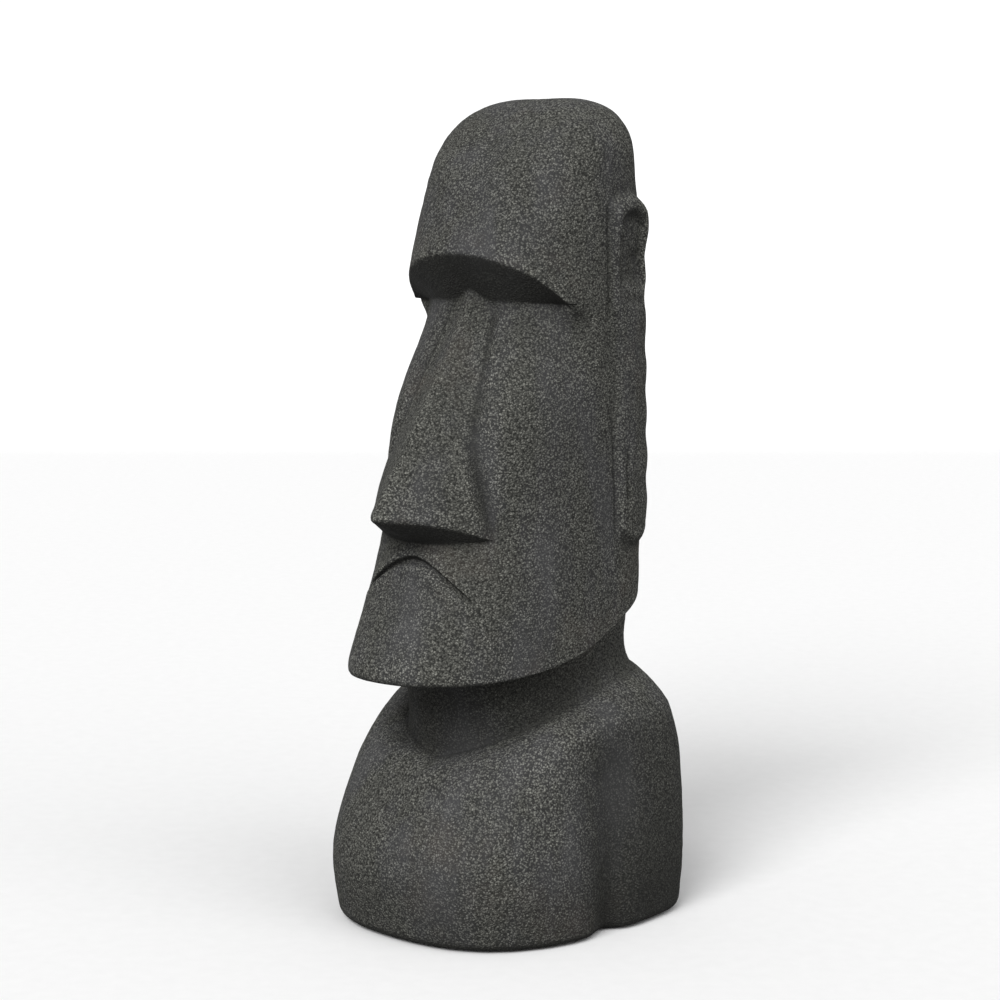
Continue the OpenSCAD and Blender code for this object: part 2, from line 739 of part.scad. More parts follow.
module core_block(low, high) {
  difference() {
    resize([0, 0, 0])
      intersection() {
        filling();
        translate([-figure_h / 2, -figure_h / 2, low])
          cube([figure_h, figure_h, high - low]);
      }
    rods(rod_r + slip, 0, rod_top + 1);
    rungs(rung_r + slip);
  }
}

module spine_rod(side) {
  translate([side * rod_pitch / 2, spine_y, board_top])
    post(rod_r, rod_top - board_top);
}

module front_shell() {
  color(stone) bored_shell(true);
}

module back_shell() {
  color(stone) bored_shell(false);
}

module seam_dowels() {
  color(steel) dowels(dowel_r, dowel_half);
}

module head_core() {
  color(foam) core_block(core_split, figure_h);
}

module torso_core() {
  color(foam) core_block(core_low, core_split);
}

module spine_rod_left() {
  color(steel) spine_rod(1);
}

module spine_rod_right() {
  color(steel) spine_rod(-1);
}

module spine_rungs() {
  color(steel)
    difference() {
      rungs(rung_r);
      rods(rod_r, 0, figure_h);
    }
}

module spine_plate() {
  color(steel)
    difference() {
      translate([-plate_w / 2, spine_y - plate_l / 2, board_top])
        cube([plate_w, plate_l, plate_t]);
      rods(rod_r, 0, figure_h);
      for (p = bolt_places())
        translate([p[0], p[1], 0])
          post(bolt_r + slip, figure_h);
    }
}

module plate_bolts() {
  color(steel)
    for (p = bolt_places())
      translate([p[0], p[1], board_z - bolt_head_h]) {
        cylinder(r = bolt_head_r, h = bolt_head_h, $fn = 6);
        post(bolt_r, bolt_head_h + board_t + plate_t + nut_h + 2);
      }
}

module plate_nuts() {
  color(steel)
    for (p = bolt_places())
      translate([p[0], p[1], board_top + plate_t])
        difference() {
          cylinder(r = bolt_head_r, h = nut_h, $fn = 6);
          translate([0, 0, -1])
            post(bolt_r, nut_h + 2);
        }
}

module base_board() {
  color(fibre)
    difference() {
      translate([0, 0, board_z])
        linear_extrude(board_t)
          polygon(foot_outline(board_gap));
      for (p = bolt_places())
        translate([p[0], p[1], 0])
          post(bolt_r + slip, figure_h);
      for (p = anchor_places())
        translate([p[0], p[1], 0])
          post(socket_r, figure_h);
      for (p = foot_places())
        translate([p[0], p[1], 0])
          post(foot_screw_r, figure_h);
      for (a = cleat_angles)
        translate([cleat_place(a)[0], cleat_place(a)[1], 0]) {
          post(screw_r + slip, figure_h);
          post(screw_head_r + slip, board_z + screw_head_h);
        }
      for (share = drain_places)
        translate([0, share * belly_reach, 0])
          post(drain_r, figure_h);
    }
}

module base_cleats() {
  color(fibre)
    difference() {
      intersection() {
        translate([0, 0, board_top])
          linear_extrude(cleat_h)
            polygon(foot_outline(bond));
        for (a = cleat_angles)
          translate([cleat_place(a)[0], cleat_place(a)[1], board_top])
            rotate([0, 0, a])
              translate([-cleat_w / 2, -cleat_deep, 0])
                cube([cleat_w, 1.5 * cleat_deep, cleat_h]);
      }
      for (a = cleat_angles)
        translate([cleat_place(a)[0], cleat_place(a)[1], 0])
          post(screw_r, board_z + screw_len);
      for (p = anchor_places())
        translate([p[0], p[1], 0])
          post(flange_r + bond, figure_h);
    }
}

module base_screws() {
  color(steel)
    for (a = cleat_angles)
      translate([cleat_place(a)[0], cleat_place(a)[1], board_z]) {
        post(screw_r, screw_len);
        post(screw_head_r, screw_head_h);
      }
}

module anchor_sockets() {
  color(steel)
    for (p = anchor_places())
      translate([p[0], p[1], board_z])
        difference() {
          union() {
            post(socket_r, board_t);
            translate([0, 0, board_t])
              post(flange_r, flange_t);
          }
          translate([0, 0, -1])
            post(anchor_bore / 2, board_t + flange_t + 2);
        }
}

module foot_pads() {
  color(rubber)
    for (p = foot_places())
      translate([p[0], p[1], 0])
        difference() {
          post(foot_d / 2, board_z);
          post(foot_screw_r, board_z);
          translate([0, 0, -1])
            post(foot_head_r + slip, foot_sink + 1);
        }
}

module foot_screws() {
  color(steel)
    for (p = foot_places())
      translate([p[0], p[1], foot_sink - 2]) {
        post(foot_head_r, 2);
        post(foot_screw_r, board_top - foot_sink + 2);
      }
}

front_shell();
back_shell();
seam_dowels();
head_core();
torso_core();
spine_rod_left();
spine_rod_right();
spine_rungs();
spine_plate();
plate_bolts();
plate_nuts();
base_board();
base_cleats();
base_screws();
anchor_sockets();
foot_pads();
foot_screws();
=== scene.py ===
"""Garden figure with a tall stylised head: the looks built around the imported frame.

The two cast halves are swept again as fine surfaces over the same guide curves as the
frame's own halves, with the ears, lips and hand-dabbed unevenness worked in, and every
carried-over node gets its own procedural material.
"""

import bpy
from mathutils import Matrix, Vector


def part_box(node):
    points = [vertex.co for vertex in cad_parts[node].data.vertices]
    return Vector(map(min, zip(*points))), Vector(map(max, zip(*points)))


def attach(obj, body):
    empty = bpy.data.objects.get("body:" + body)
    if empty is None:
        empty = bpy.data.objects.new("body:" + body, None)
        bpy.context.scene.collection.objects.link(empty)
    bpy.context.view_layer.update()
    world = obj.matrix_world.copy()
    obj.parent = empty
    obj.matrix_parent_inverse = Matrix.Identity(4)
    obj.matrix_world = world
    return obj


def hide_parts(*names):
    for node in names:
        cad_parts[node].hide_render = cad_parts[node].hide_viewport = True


bl_info = {
    "name": "Tall stone-look garden head",
    "version": (1, 0, 0),
    "blender": (4, 5, 0),
    "location": "View3D > Sidebar > Garden head",
    "description": "Builds the cast skin, the base fittings' materials and a plain studio",
    "category": "Object",
}

import bpy
import numpy as np
from bpy.props import FloatProperty, FloatVectorProperty, IntProperty, PointerProperty
from mathutils import Vector

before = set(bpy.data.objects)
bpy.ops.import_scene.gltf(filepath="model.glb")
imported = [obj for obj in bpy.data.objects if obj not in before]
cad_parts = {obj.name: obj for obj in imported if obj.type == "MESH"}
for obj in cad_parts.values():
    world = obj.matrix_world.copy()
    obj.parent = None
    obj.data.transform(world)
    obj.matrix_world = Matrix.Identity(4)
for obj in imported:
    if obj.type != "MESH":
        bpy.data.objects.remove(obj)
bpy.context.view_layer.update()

MM = 0.001


# ---------------------------------------------------------------- properties


class HeadProps(bpy.types.PropertyGroup):
    """Sizes of the sculpted skin, in metres"""

    wall: FloatProperty(name="Wall", description="Thickness of the cast shell", default=0.014, unit="LENGTH")
    edge_soft: IntProperty(name="Edge softening", description="Passes that round the carved edges", default=2)
    lump: FloatProperty(
        name="Lumps", description="Depth of the broad hand-made unevenness", default=0.0016, unit="LENGTH"
    )
    dab: FloatProperty(name="Dabs", description="Depth of the tool dabs", default=0.0007, unit="LENGTH")
    seed: IntProperty(name="Seed", description="Start of the random unevenness", default=11)


class StoneProps(bpy.types.PropertyGroup):
    """Look of the cast stone"""

    grain: FloatProperty(name="Grain", description="Width of one grain", default=0.0020, unit="LENGTH")
    grain_depth: FloatProperty(
        name="Grain depth", description="Height of the grains", default=0.0016, unit="LENGTH"
    )
    dark: FloatVectorProperty(
        name="Pits", description="Colour of the pits", subtype="COLOR", size=3,
        default=(0.014, 0.0142, 0.0125)
    )
    body: FloatVectorProperty(
        name="Body", description="Colour between pits and grains", subtype="COLOR", size=3,
        default=(0.054, 0.0545, 0.0485)
    )
    light: FloatVectorProperty(
        name="Grains", description="Colour of the rubbed grains", subtype="COLOR", size=3,
        default=(0.31, 0.31, 0.275)
    )
    worn: FloatVectorProperty(
        name="Smooth patches", description="Colour of the smooth patches", subtype="COLOR", size=3,
        default=(0.068, 0.068, 0.072)
    )
    dust: FloatVectorProperty(
        name="Dust", description="Colour of the brown dust", subtype="COLOR", size=3,
        default=(0.15, 0.115, 0.09)
    )


class StageProps(bpy.types.PropertyGroup):
    """Camera and light"""

    azimuth: FloatProperty(
        name="Azimuth", description="Camera's turn about the figure, in degrees", default=40.0
    )
    distance: FloatProperty(
        name="Distance", description="Camera to the parting plane", default=2.34, unit="LENGTH"
    )
    height: FloatProperty(name="Height", description="Camera above the floor", default=0.712, unit="LENGTH")
    aim: FloatProperty(
        name="Aim", description="Height that the camera looks at", default=0.4024, unit="LENGTH"
    )
    pan: FloatProperty(name="Pan", description="Camera's slide to its right", default=-0.036, unit="LENGTH")
    lens: FloatProperty(name="Lens", description="Focal length in millimetres", default=85.14)
    key: FloatProperty(name="Key light", description="Strength of the main soft light", default=2.5)
    key_from: FloatProperty(
        name="Key from", description="Its turn about the figure, in degrees", default=15.0
    )
    fill: FloatProperty(name="Fill light", description="Strength of the fill light", default=0.75)
    fill_from: FloatProperty(
        name="Fill from", description="Its turn about the figure, in degrees", default=85.0
    )
    sky: FloatProperty(name="Surround", description="Strength of the surround's light", default=0.42)


# ---------------------------------------------------------------- the skin's formula

# Frame facts, in millimetres
FRONT_LOW, FRONT_HIGH = (np.array(corner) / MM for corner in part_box("front_shell"))
AXIS_Y = np.array(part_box("back_shell")[0])[1] / MM
RIM = FRONT_LOW[2]
TORSO_HALF = FRONT_HIGH[0]

# Own sizes and levels, in millimetres, with turns in degrees from the front, exponents of
# superellipses and plain shares
TOP = 800.0
HEAD_HALF = 114.0

CHIN, NAPE, MOUTH, NOSE, EYE, BROW = 252.0, 344.0, 361.6, 405.6, 602.4, 650.4
BROW_FADE = 408.0
JAW_RISE, JAW_TURN, JAW_BEND, WING_TURN = 14.0, 150.0, 1.54, 25.0
BROW_DEPTH, TEMPLE, BROW_DROP = 54.0, 53.5, 2.3
HOLLOW_ANGLE, HOLLOW_DROP, CHEEK_FULL, CHEEK_ANGLE = 70.0, 1.2, 2.0, 50.0
FACE_ROUND, SKULL_ROUND, BELLY_ROUND, BACK_ROUND, NECK_ROUND = 2.4, 2.65, 2.6, 2.8, 2.5
FOOT_EDGE = 8.0
GROOVE_DEPTH, GROOVE_ANGLE, GROOVE_WIDTH, GROOVE_SPREAD = 14.0, 65.0, 6.5, 8.0
GROOVE_TOP, GROOVE_FADE = 212.0, 60.0
EAR_FRONT, EAR_BACK, EAR_TOP, EAR_LOW, EAR_OUT = 80.0, 113.0, 707.0, 366.0, 6.5
LOBE_IN, BULB_OUT, BULB_LEVEL, BULB_SPREAD = 3.5, 5.0, 684.0, 26.0
EAR_MIDDLE, WELL_HALF, WELL_LOW, WELL_TOP, WELL_DEPTH = 0.48, 0.37, 612.0, 692.0, 7.5
SLIT_TURN, SLIT_WIDE, SLIT_LOW, SLIT_TOP, SLIT_DEPTH = 90.0, 1.2, 404.0, 464.0, 3.8
EAR_PLAIN_LOW, EAR_PLAIN_TOP, EAR_EDGE_CUT = 470.0, 604.0, 1.6
MOUTH_HALF, MOUTH_DROP, MOUTH_POWER, MOUTH_DEPTH, MOUTH_BAND = 63.0, 37.0, 1.75, 6.5, 5.0
MOUTH_PEAK, MOUTH_CUT, LIP_OFF, LIP_WIDE, LIP_BELOW, LIP_ABOVE = 2.0, 2.6, 6.5, 4.5, 3.2, 2.2
CORNER, CORNER_FADE, GUIDE_SHARE, GUIDE_FROM, GUIDE_RUN = 1.08, 0.3, 0.45, 20.0, 22.0
NOSE_UNDER, WING_DROP, WING_UNDER, NOSE_TOP = 25.0, 20.0, 3.0, EYE + 16.0
NOSE_LIFT, NOSE_LIFT_LEAST, NOSE_PROUD, RIDGE_ROUND, HOLLOW_START = 6.0, 2.0, 60.0, 0.03, 24.0
CREASE_DEEP, CREASE_WIDE, CREASE_RIM, CREASE_IN = 2.8, 1.9, 1.8, 1.5
CREASE_DEEP_AT, CREASE_RIM_AT, CREASE_RIM_WIDE = 1.4, -2.2, 0.7
CREASE_ROOT, CREASE_ROOT_FADE, CREASE_FOOT, CREASE_FOOT_FADE = EYE + 6.0, 22.0, NOSE - 22.0, 14.0
APEX, FALL, FALL_RUN = 39.0, 9.7, 100.0
SHOULDER_POWER, CROWN_RISE, CROWN_FRONT, CROWN_BACK = 1.27, 0.94, 0.78, 0.52

HEAD_WIDTH = [(262, HEAD_HALF), (400, 0.974 * HEAD_HALF), (530, 0.947 * HEAD_HALF),
              (650, 0.93 * HEAD_HALF), (TOP, 0.877 * HEAD_HALF)]
HEAD_FRONT = [(262, 234), (400, 175), (530, 165), (650, 128), (TOP, 60)]
HEAD_BACK = [(262, 54), (400, 70.7), (530, 76), (650, 73), (TOP, 56.2)]
TORSO_WIDTH = [(0, TORSO_HALF - 5), (60, TORSO_HALF), (150, 0.97 * TORSO_HALF), (260, 0.81 * TORSO_HALF)]
TORSO_FRONT = [(0, 214.5), (60, 222), (150, 182), (260, 60)]
TORSO_BACK = [(0, 95.5), (60, 97), (150, 98), (260, 71.5)]
NOSE_WIDTH = [(NOSE - 20, 68.5), (NOSE + 25, 56.5), (NOSE + 75, 43.4), (NOSE + 135, 33), (EYE + 9, 22)]
NOSE_OUT = [(NOSE - 7, 70), (NOSE + 25, 51.8), (NOSE + 75, 33.6), (NOSE + 135, 22.5), (EYE + 9, 13)]
CREASE_LEVEL = [(0, 168), (90, 236), (180, 251.2)]
SHOULDER_LEVEL = [(0, 152), (90, 204), (180, 198.4)]
CROWN_LEVEL = [(0, 704), (90, 738), (180, 764)]
NECK_HALF, THROAT, NECK_BACK = 94.05, 146.0, 60.0
NECK_FLARE, NAPE_FILLET, NAPE_SPREAD, NECK_STEP = 8.0, 10.0, 13.0, 1.0
NAPE_FROM, NAPE_RUN = 40.0, 50.0
JAW_SLOPE = 0.6

# Ear details: place across the ear, width there, level, height, rise of the level towards
# the ear's edges, and depth, which is negative where the detail stands out
EAR_DETAILS = {
    "pocket": (0.48, 0.20, 683.0, 5.0, -16.0, 4.0),
    "ledge": (0.68, 0.15, 654.0, 4.0, 0.0, -3.0),
    "ledge's foot": (0.70, 0.17, 646.0, 4.0, 0.0, 3.0),
    "lip": (0.45, 0.26, 617.0, 3.6, 10.0, -3.5),
    "lip's foot": (0.45, 0.20, 606.0, 6.0, 0.0, 2.5),
}

# Unevenness: sizes of the broad lumps and of the dabs, the share of the coarser size of
# each, and the level from which they also press down; passes of the relief's average;
# angle from which an edge stays sharp; cells along the noise table, and a shift that keeps
# its places positive
LUMP_SIZES, DAB_SIZES, COARSE_SHARE, PRESS_FROM = (46.0, 21.0), (8.0, 4.5), 0.6, 700.0
RELIEF_PASSES, SHARP_FROM = 36, 50.0
LATTICE_CELLS, LATTICE_SHIFT = 32, 400.0

# Painted shade, darkening the figure where shade falls: levels of the neck's band, level from which the arms
# fade out, level from which the figure darkens downwards, and the share of each; downward slope at which it
# starts and how far on it is full, turn at which the arms start, and the band's reach, as a share of the neck
BAND_LOW, BAND_TOP, ARMS_TOP, LOW_TOP = 165.0, 262.0, 235.0, 150.0
BAND_SHARE, ARMS_SHARE, LOW_SHARE, FOLD_SHARE = 0.5, 0.55, 0.32, 0.55
DOWN_FROM, DOWN_RUN, ARMS_FROM, BAND_REACH = 0.12, 0.45, 45.0, 1.25


def ease(t):
    """Smooth step from 0 to 1: 3 t squared less 2 t cubed, flat at both ends."""
    t = np.clip(t, 0.0, 1.0)
    return t * t * (3.0 - 2.0 * t)


def mix(a, b, t):
    """Straight blend of a and b."""
    return a + (b - a) * t


def curve(knots, t):
    """Cubic through the knots whose slope at each knot is the harmonic mean of its two
    chords, or level where they turn, so that it never overshoots."""
    x, y = np.array(knots, float).T
    chord = np.diff(y) / np.diff(x)
    before, after = chord[:-1], chord[1:]
    total = np.where(before + after == 0, 1.0, before + after)
    inner = np.where(before * after > 0, 2 * before * after / total, 0.0)
    slope = np.concatenate([chord[:1], inner, chord[-1:]])
    t = np.clip(t, x[0], x[-1])
    i = np.clip(np.searchsorted(x, t, side="right") - 1, 0, len(x) - 2)
    h = x[i + 1] - x[i]
    u = (t - x[i]) / h
    return (
        (2 * u**3 - 3 * u**2 + 1) * y[i]
        + (u**3 - 2 * u**2 + u) * h * slope[i]
        + (3 * u**2 - 2 * u**3) * y[i + 1]
        + (u**3 - u**2) * h * slope[i + 1]
    )


def plan(a, half, fwd, aft, n_fwd, n_aft):
    """Superellipse about the axis, as a radius at angle a from the front: half wide, fwd
    long before the axis and aft long behind it, with an exponent for each half."""
    s, c = np.abs(np.sin(a)), np.cos(a)
    n = np.where(c > 0, n_fwd, n_aft)
    reach = np.where(c > 0, fwd, aft)
    return ((s / half) ** n + (np.abs(c) / reach) ** n) ** (-1.0 / n)


def head_r(a, z):
    """Head's plan at level z."""
    return plan(a, curve(HEAD_WIDTH, z), curve(HEAD_FRONT, z), curve(HEAD_BACK, z), FACE_ROUND, SKULL_ROUND)


def torso_r(a, z):
    """Torso's plan at level z, less a bell-shaped groove before each arm that widens
    upwards and fades out at the shoulder."""
    r = plan(a, curve(TORSO_WIDTH, z), curve(TORSO_FRONT, z), curve(TORSO_BACK, z), BELLY_ROUND, BACK_ROUND)
    off = (np.abs(np.degrees(a)) - GROOVE_ANGLE) / (GROOVE_WIDTH + GROOVE_SPREAD * ease(z / GROOVE_TOP))
    return r - GROOVE_DEPTH * np.exp(-(off**2)) * ease((GROOVE_TOP - z) / GROOVE_FADE)


def neck_r(a):
    """Neck's plan."""
    return plan(a, NECK_HALF, THROAT, NECK_BACK, NECK_ROUND, NECK_ROUND)


def neck_foot_r(a):
    """Neck's plan with the fillet at its foot, which only the sides and the nape have."""
    return neck_r(a) + NAPE_FILLET * ease((np.abs(np.degrees(a)) - NAPE_FROM) / NAPE_RUN)


def brow_share(a):
    """Height of the brow's arch: 1 in the middle, 0 from the temples on."""
    return np.maximum(1.0 - (np.abs(np.degrees(a)) / TEMPLE) ** BROW_DROP, 0.0)


def hollow_share(z):
    """How much of the brow's hollow is left at level z, in the middle of the face."""
    return ease((z - BROW_FADE) / (EYE - BROW_FADE))


def face_r(a, z):
    """Head's plan less the hollow below the brow, which grows shallower to the side and
    dies out sooner there, so that the cheeks swell."""
    deg = np.abs(np.degrees(a))
    across = np.maximum(1.0 - (deg / HOLLOW_ANGLE) ** HOLLOW_DROP, 0.0)
    down = hollow_share(z) ** (1.0 + CHEEK_FULL * ease(deg / CHEEK_ANGLE))
    start = mix(1.0, ease((EYE + 1.0 - z) / HOLLOW_START), ease((deg - CHEEK_ANGLE) / 10.0))
    return head_r(a, z) - BROW_DEPTH * across * down * start


def crease_reach(z):
    """How far forward the nose meets the cheek."""
    share = np.minimum(curve(NOSE_WIDTH, z) / curve(HEAD_WIDTH, z), 0.95)
    front = curve(HEAD_FRONT, z) - BROW_DEPTH * hollow_share(z)
    return front * (1.0 - share**FACE_ROUND) ** (1.0 / FACE_ROUND) - CREASE_IN


def crease_angle(z):
    """Angle of that meeting line."""
    return np.arctan2(curve(NOSE_WIDTH, z), crease_reach(z))


def nose_r(a, z):
    """Wedge with a narrow rounded ridge: a straight flank from the ridge to the crease,
    swelled towards the crease, where it drops steeply to the cheek."""
    tip = curve(HEAD_FRONT, z) - BROW_DEPTH * hollow_share(z) + curve(NOSE_OUT, z)
    side = np.sqrt(np.sin(a) ** 2 + RIDGE_ROUND**2) - RIDGE_ROUND
    r = tip / (np.maximum(np.cos(a), 0.1) + (tip - crease_reach(z)) / curve(NOSE_WIDTH, z) * side)
    share = np.clip(np.abs(a) / crease_angle(z), 0.0, 1.0)
    lift = NOSE_LIFT * ease((tip - crease_reach(z)) / NOSE_PROUD) + NOSE_LIFT_LEAST
    return np.where(share >= 1.0, 0.0, r + lift * share * np.sqrt(1.0 - share**8))


def nose_crease(a, z, shift=0.0, width=1.0):
    """Bell across the line between nose and cheek, in degrees, faded out above the nose's
    root and below its wings."""
    off = (np.degrees(np.abs(a) - crease_angle(z)) - shift) / (CREASE_WIDE * width)
    ends = ease((CREASE_ROOT - z) / CREASE_ROOT_FADE) * ease((z - CREASE_FOOT) / CREASE_FOOT_FADE)
    return np.exp(-(off**2)) * ends


def larger(a, b, blend=2.0):
    """The larger of two radii, with the corner between them rounded."""
    d = b - a
    return a + np.where(d > blend, d, np.where(d < -blend, 0.0, (d + blend) ** 2 / (4 * blend)))


def ear_r(a, z):
    """Raised ear: a long rounded strip that swells at its top, with a well there, the
    details of EAR_DETAILS, each a bell across the ear times one up it, and a slit in the
    lobe."""
    deg = np.abs(np.degrees(a))
    front = EAR_FRONT + LOBE_IN * ease((620.0 - z) / 240.0)
    across = (deg - front) / (EAR_BACK - front)
    end = 12.0 * (2.0 * np.clip(across, 0, 1) - 1.0) ** 2
    window = ease((EAR_TOP - end - z) / 7.0) * ease((z - EAR_LOW - end) / 7.0)
    plain = ease((EAR_PLAIN_TOP - z) / 40.0) * ease((z - EAR_PLAIN_LOW) / 60.0)
    edge = ease((deg - front) / (2.0 + 9.0 * plain)) * ease((EAR_BACK - deg) / 3.5) * window
    out = EAR_OUT + BULB_OUT * np.exp(-(((z - BULB_LEVEL) / BULB_SPREAD) ** 2))
    out = out + 0.8 * np.sin(z / 7.0) * ease(across)
    bowed = 4.0 * (across - EAR_MIDDLE) ** 2
    well = ease(2.4 * np.clip(1.0 - ((across - EAR_MIDDLE) / WELL_HALF) ** 2, 0, 1))
    well = well * ease((z - WELL_LOW) / 12.0) * ease((WELL_TOP - 20.0 * bowed - z) / 7.0)
    slit = np.exp(-(((deg - SLIT_TURN) / SLIT_WIDE) ** 2))
    slit = slit * ease((z - SLIT_LOW) / 10.0) * ease((SLIT_TOP - z) / 12.0)
    carved = WELL_DEPTH * well + SLIT_DEPTH * slit
    for place, width, height, spread, rise, depth in EAR_DETAILS.values():
        off_across = (across - place) / width
        off_up = (z - height - rise * bowed) / spread
        carved = carved + depth * np.exp(-(off_across**2) - off_up**2)
    crease = np.exp(-(((deg - front + 0.6) / 0.9) ** 2)) * window * (1.0 - plain)
    return edge * (out - carved) - EAR_EDGE_CUT * crease


def z_jaw(a):
    """Level of the jaw's edge."""
    return mix(CHIN, NAPE, ease(np.abs(np.degrees(a)) / JAW_TURN) ** JAW_BEND)


def z_tip(a):
    """Level of the nose's lower edge."""
    return NOSE - WING_DROP * np.clip((np.degrees(a) / WING_TURN) ** 2, 0, 1)


def z_root(a):
    """Level where the nose's underside meets the face: lowest at the middle, and coming up
    to the wing, past which it runs into the nose's lower edge."""
    share = np.abs(a) / crease_angle(NOSE + 0 * a)
    inside = NOSE - NOSE_UNDER + (NOSE_UNDER - WING_DROP - WING_UNDER) * np.clip(share, 0, 1) ** 2
    inside = np.minimum(inside, z_tip(a) - 1.0)
    return mix(inside, z_tip(a) - 0.6, ease((share - 0.97) / 0.12))


def mouth_share(a):
    """Distance from the middle of the mouth, as a share of its half width."""
    return np.abs(face_r(a, MOUTH) * np.sin(a)) / MOUTH_HALF


def z_lips(a):
    """Level of the mouth line, which turns into a plain guide past the corners."""
    line = MOUTH + MOUTH_PEAK - MOUTH_DROP * np.clip(mouth_share(a), 0, 1.3) ** MOUTH_POWER
    guide = mix(z_jaw(a), z_root(a), GUIDE_SHARE)
    return mix(line, guide, ease((np.abs(np.degrees(a)) - GUIDE_FROM) / GUIDE_RUN))


def lips_r(a, z):
    """Cut of the mouth line with a lip above and below it."""
    off = z - z_lips(a)
    cut = np.where(np.cos(a) > 0, ease((CORNER - mouth_share(a)) / CORNER_FADE), 0.0)
    cut = cut * ease((EAR_FRONT - 20.0 - np.abs(np.degrees(a))) / 10.0)
    below = LIP_BELOW * np.exp(-(((off + LIP_OFF) / LIP_WIDE) ** 2))
    above = LIP_ABOVE * np.exp(-(((off - LIP_OFF) / LIP_WIDE) ** 2))
    return cut * (below + above - MOUTH_DEPTH * np.exp(-((off / MOUTH_CUT) ** 2)))


def z_brow_edge(a):
    """Level of the brow's edge."""
    return EYE + np.maximum((BROW - EYE) * brow_share(a), 1.0)


def level(knots, a):
    """Level of a guide that changes around the figure."""
    return curve(knots, np.abs(np.degrees(a)))


# Each stretch gives radius and height at angle a and share t, for an outer face where
# inset is 0, or for the plain inner face inset millimetres below it.


def foot(a, t, inset):
    """Quarter round at the foot's edge."""
    z = RIM + (FOOT_EDGE * t if inset else FOOT_EDGE * (1 - np.cos(np.pi / 2 * t))) + 0 * a
    return torso_r(a, z) - (inset or FOOT_EDGE * (1 - np.sin(np.pi / 2 * t))), z


def torso(a, t, inset):
    """Upright part of the torso."""
    z = mix(RIM + FOOT_EDGE, level(SHOULDER_LEVEL, a) - 0.5 * inset, t)
    return torso_r(a, z) - inset, z


def shoulder(a, t, inset):
    """Superellipse quarter from the torso's side to the neck's foot."""
    p = mix(1.0, SHOULDER_POWER, ease(np.abs(np.degrees(a)) / 90.0))
    low, high = level(SHOULDER_LEVEL, a) - 0.5 * inset, level(CREASE_LEVEL, a) - inset
    z = mix(low, high, np.sin(np.pi / 2 * t) ** p)
    inner = neck_foot_r(a) - inset
    return inner + np.maximum(torso_r(a, z) - inset - inner, 0) * np.maximum(np.cos(np.pi / 2 * t), 0) ** p, z


def neck_top_r(a):
    """Radius of the neck at the jaw, which stays inside the head."""
    return np.minimum(neck_r(a) + NECK_FLARE, face_r(a, z_jaw(a)) - NECK_STEP)


def jaw_rise(a):
    """Height of the underjaw, which dies out where the head hardly overhangs the neck."""
    return np.minimum(JAW_RISE, JAW_SLOPE * (face_r(a, z_jaw(a)) - neck_top_r(a)))


def neck(a, t, inset):
    """Neck that flares towards the jaw, with a fillet that dies out above its foot."""
    low = level(CREASE_LEVEL, a) - inset
    z = mix(low, z_jaw(a) + jaw_rise(a) + inset, t)
    fillet = (neck_foot_r(a) - neck_r(a)) * np.exp(-(z - low) / NAPE_SPREAD)
    return mix(neck_r(a), neck_top_r(a), t**2) + fillet - inset, z


def underjaw(a, t, inset):
    """Straight lines from the neck out to the jaw's edge."""
    z = mix(z_jaw(a) + jaw_rise(a), z_jaw(a), t) + inset
    return mix(neck_top_r(a), face_r(a, z_jaw(a)), t) - inset, z


def on_face(a, z, inset, nose=False):
    """Radius of the face at level z, with its small features on the outer face only."""
    r = face_r(a, z)
    if inset:
        return r - inset
    if nose:
        r = larger(r, nose_r(a, z))
        r = r + CREASE_RIM * nose_crease(a, z, CREASE_RIM_AT, CREASE_RIM_WIDE)
        r = r - CREASE_DEEP * nose_crease(a, z, CREASE_DEEP_AT)
    return r + ear_r(a, z) + lips_r(a, z)


def chin(a, t, inset):
    """Jaw edge up to the mouth."""
    z = mix(z_jaw(a) + inset, z_lips(a) - MOUTH_BAND, t)
    return on_face(a, z, inset), z


def mouth(a, t, inset):
    """Narrow band along the mouth line."""
    z = z_lips(a) + (2 * t - 1) * MOUTH_BAND
    return on_face(a, z, inset), z


def lip(a, t, inset):
    """Mouth up to the nose's underside."""
    z = mix(z_lips(a) + MOUTH_BAND, z_root(a), t)
    return on_face(a, z, inset), z


def nostril(a, t, inset):
    """Sloping underside of the nose."""
    z = mix(z_root(a), z_tip(a), t)
    if inset:
        return face_r(a, z) - inset, z
    tip = larger(face_r(a, z_tip(a)), nose_r(a, z_tip(a)))
    return mix(face_r(a, z_root(a)), tip, t) + ear_r(a, z) + lips_r(a, z), z


def cheek(a, t, inset):
    """Nose and cheeks up to the brow's hollow."""
    z = mix(z_tip(a), EYE + 0.5 * inset, t)
    return on_face(a, z, inset, nose=True), z


def hollow(a, t, inset):
    """Sloping underside of the brow, which the nose runs into."""
    z = mix(EYE, z_brow_edge(a), t)
    r = mix(face_r(a, EYE + 0 * a), head_r(a, z_brow_edge(a)), t)
    if inset:
        return r - inset, z + 0.5 * inset
    return larger(r, np.where(z < NOSE_TOP, nose_r(a, z), 0.0)) + ear_r(a, z), z


def forehead(a, t, inset):
    """Brow edge up to where the crown rounds over."""
    z = mix(z_brow_edge(a) + 0.5 * inset, level(CROWN_LEVEL, a) - 0.3 * inset, t)
    return head_r(a, z) - inset + (0 if inset else ear_r(a, z)), z


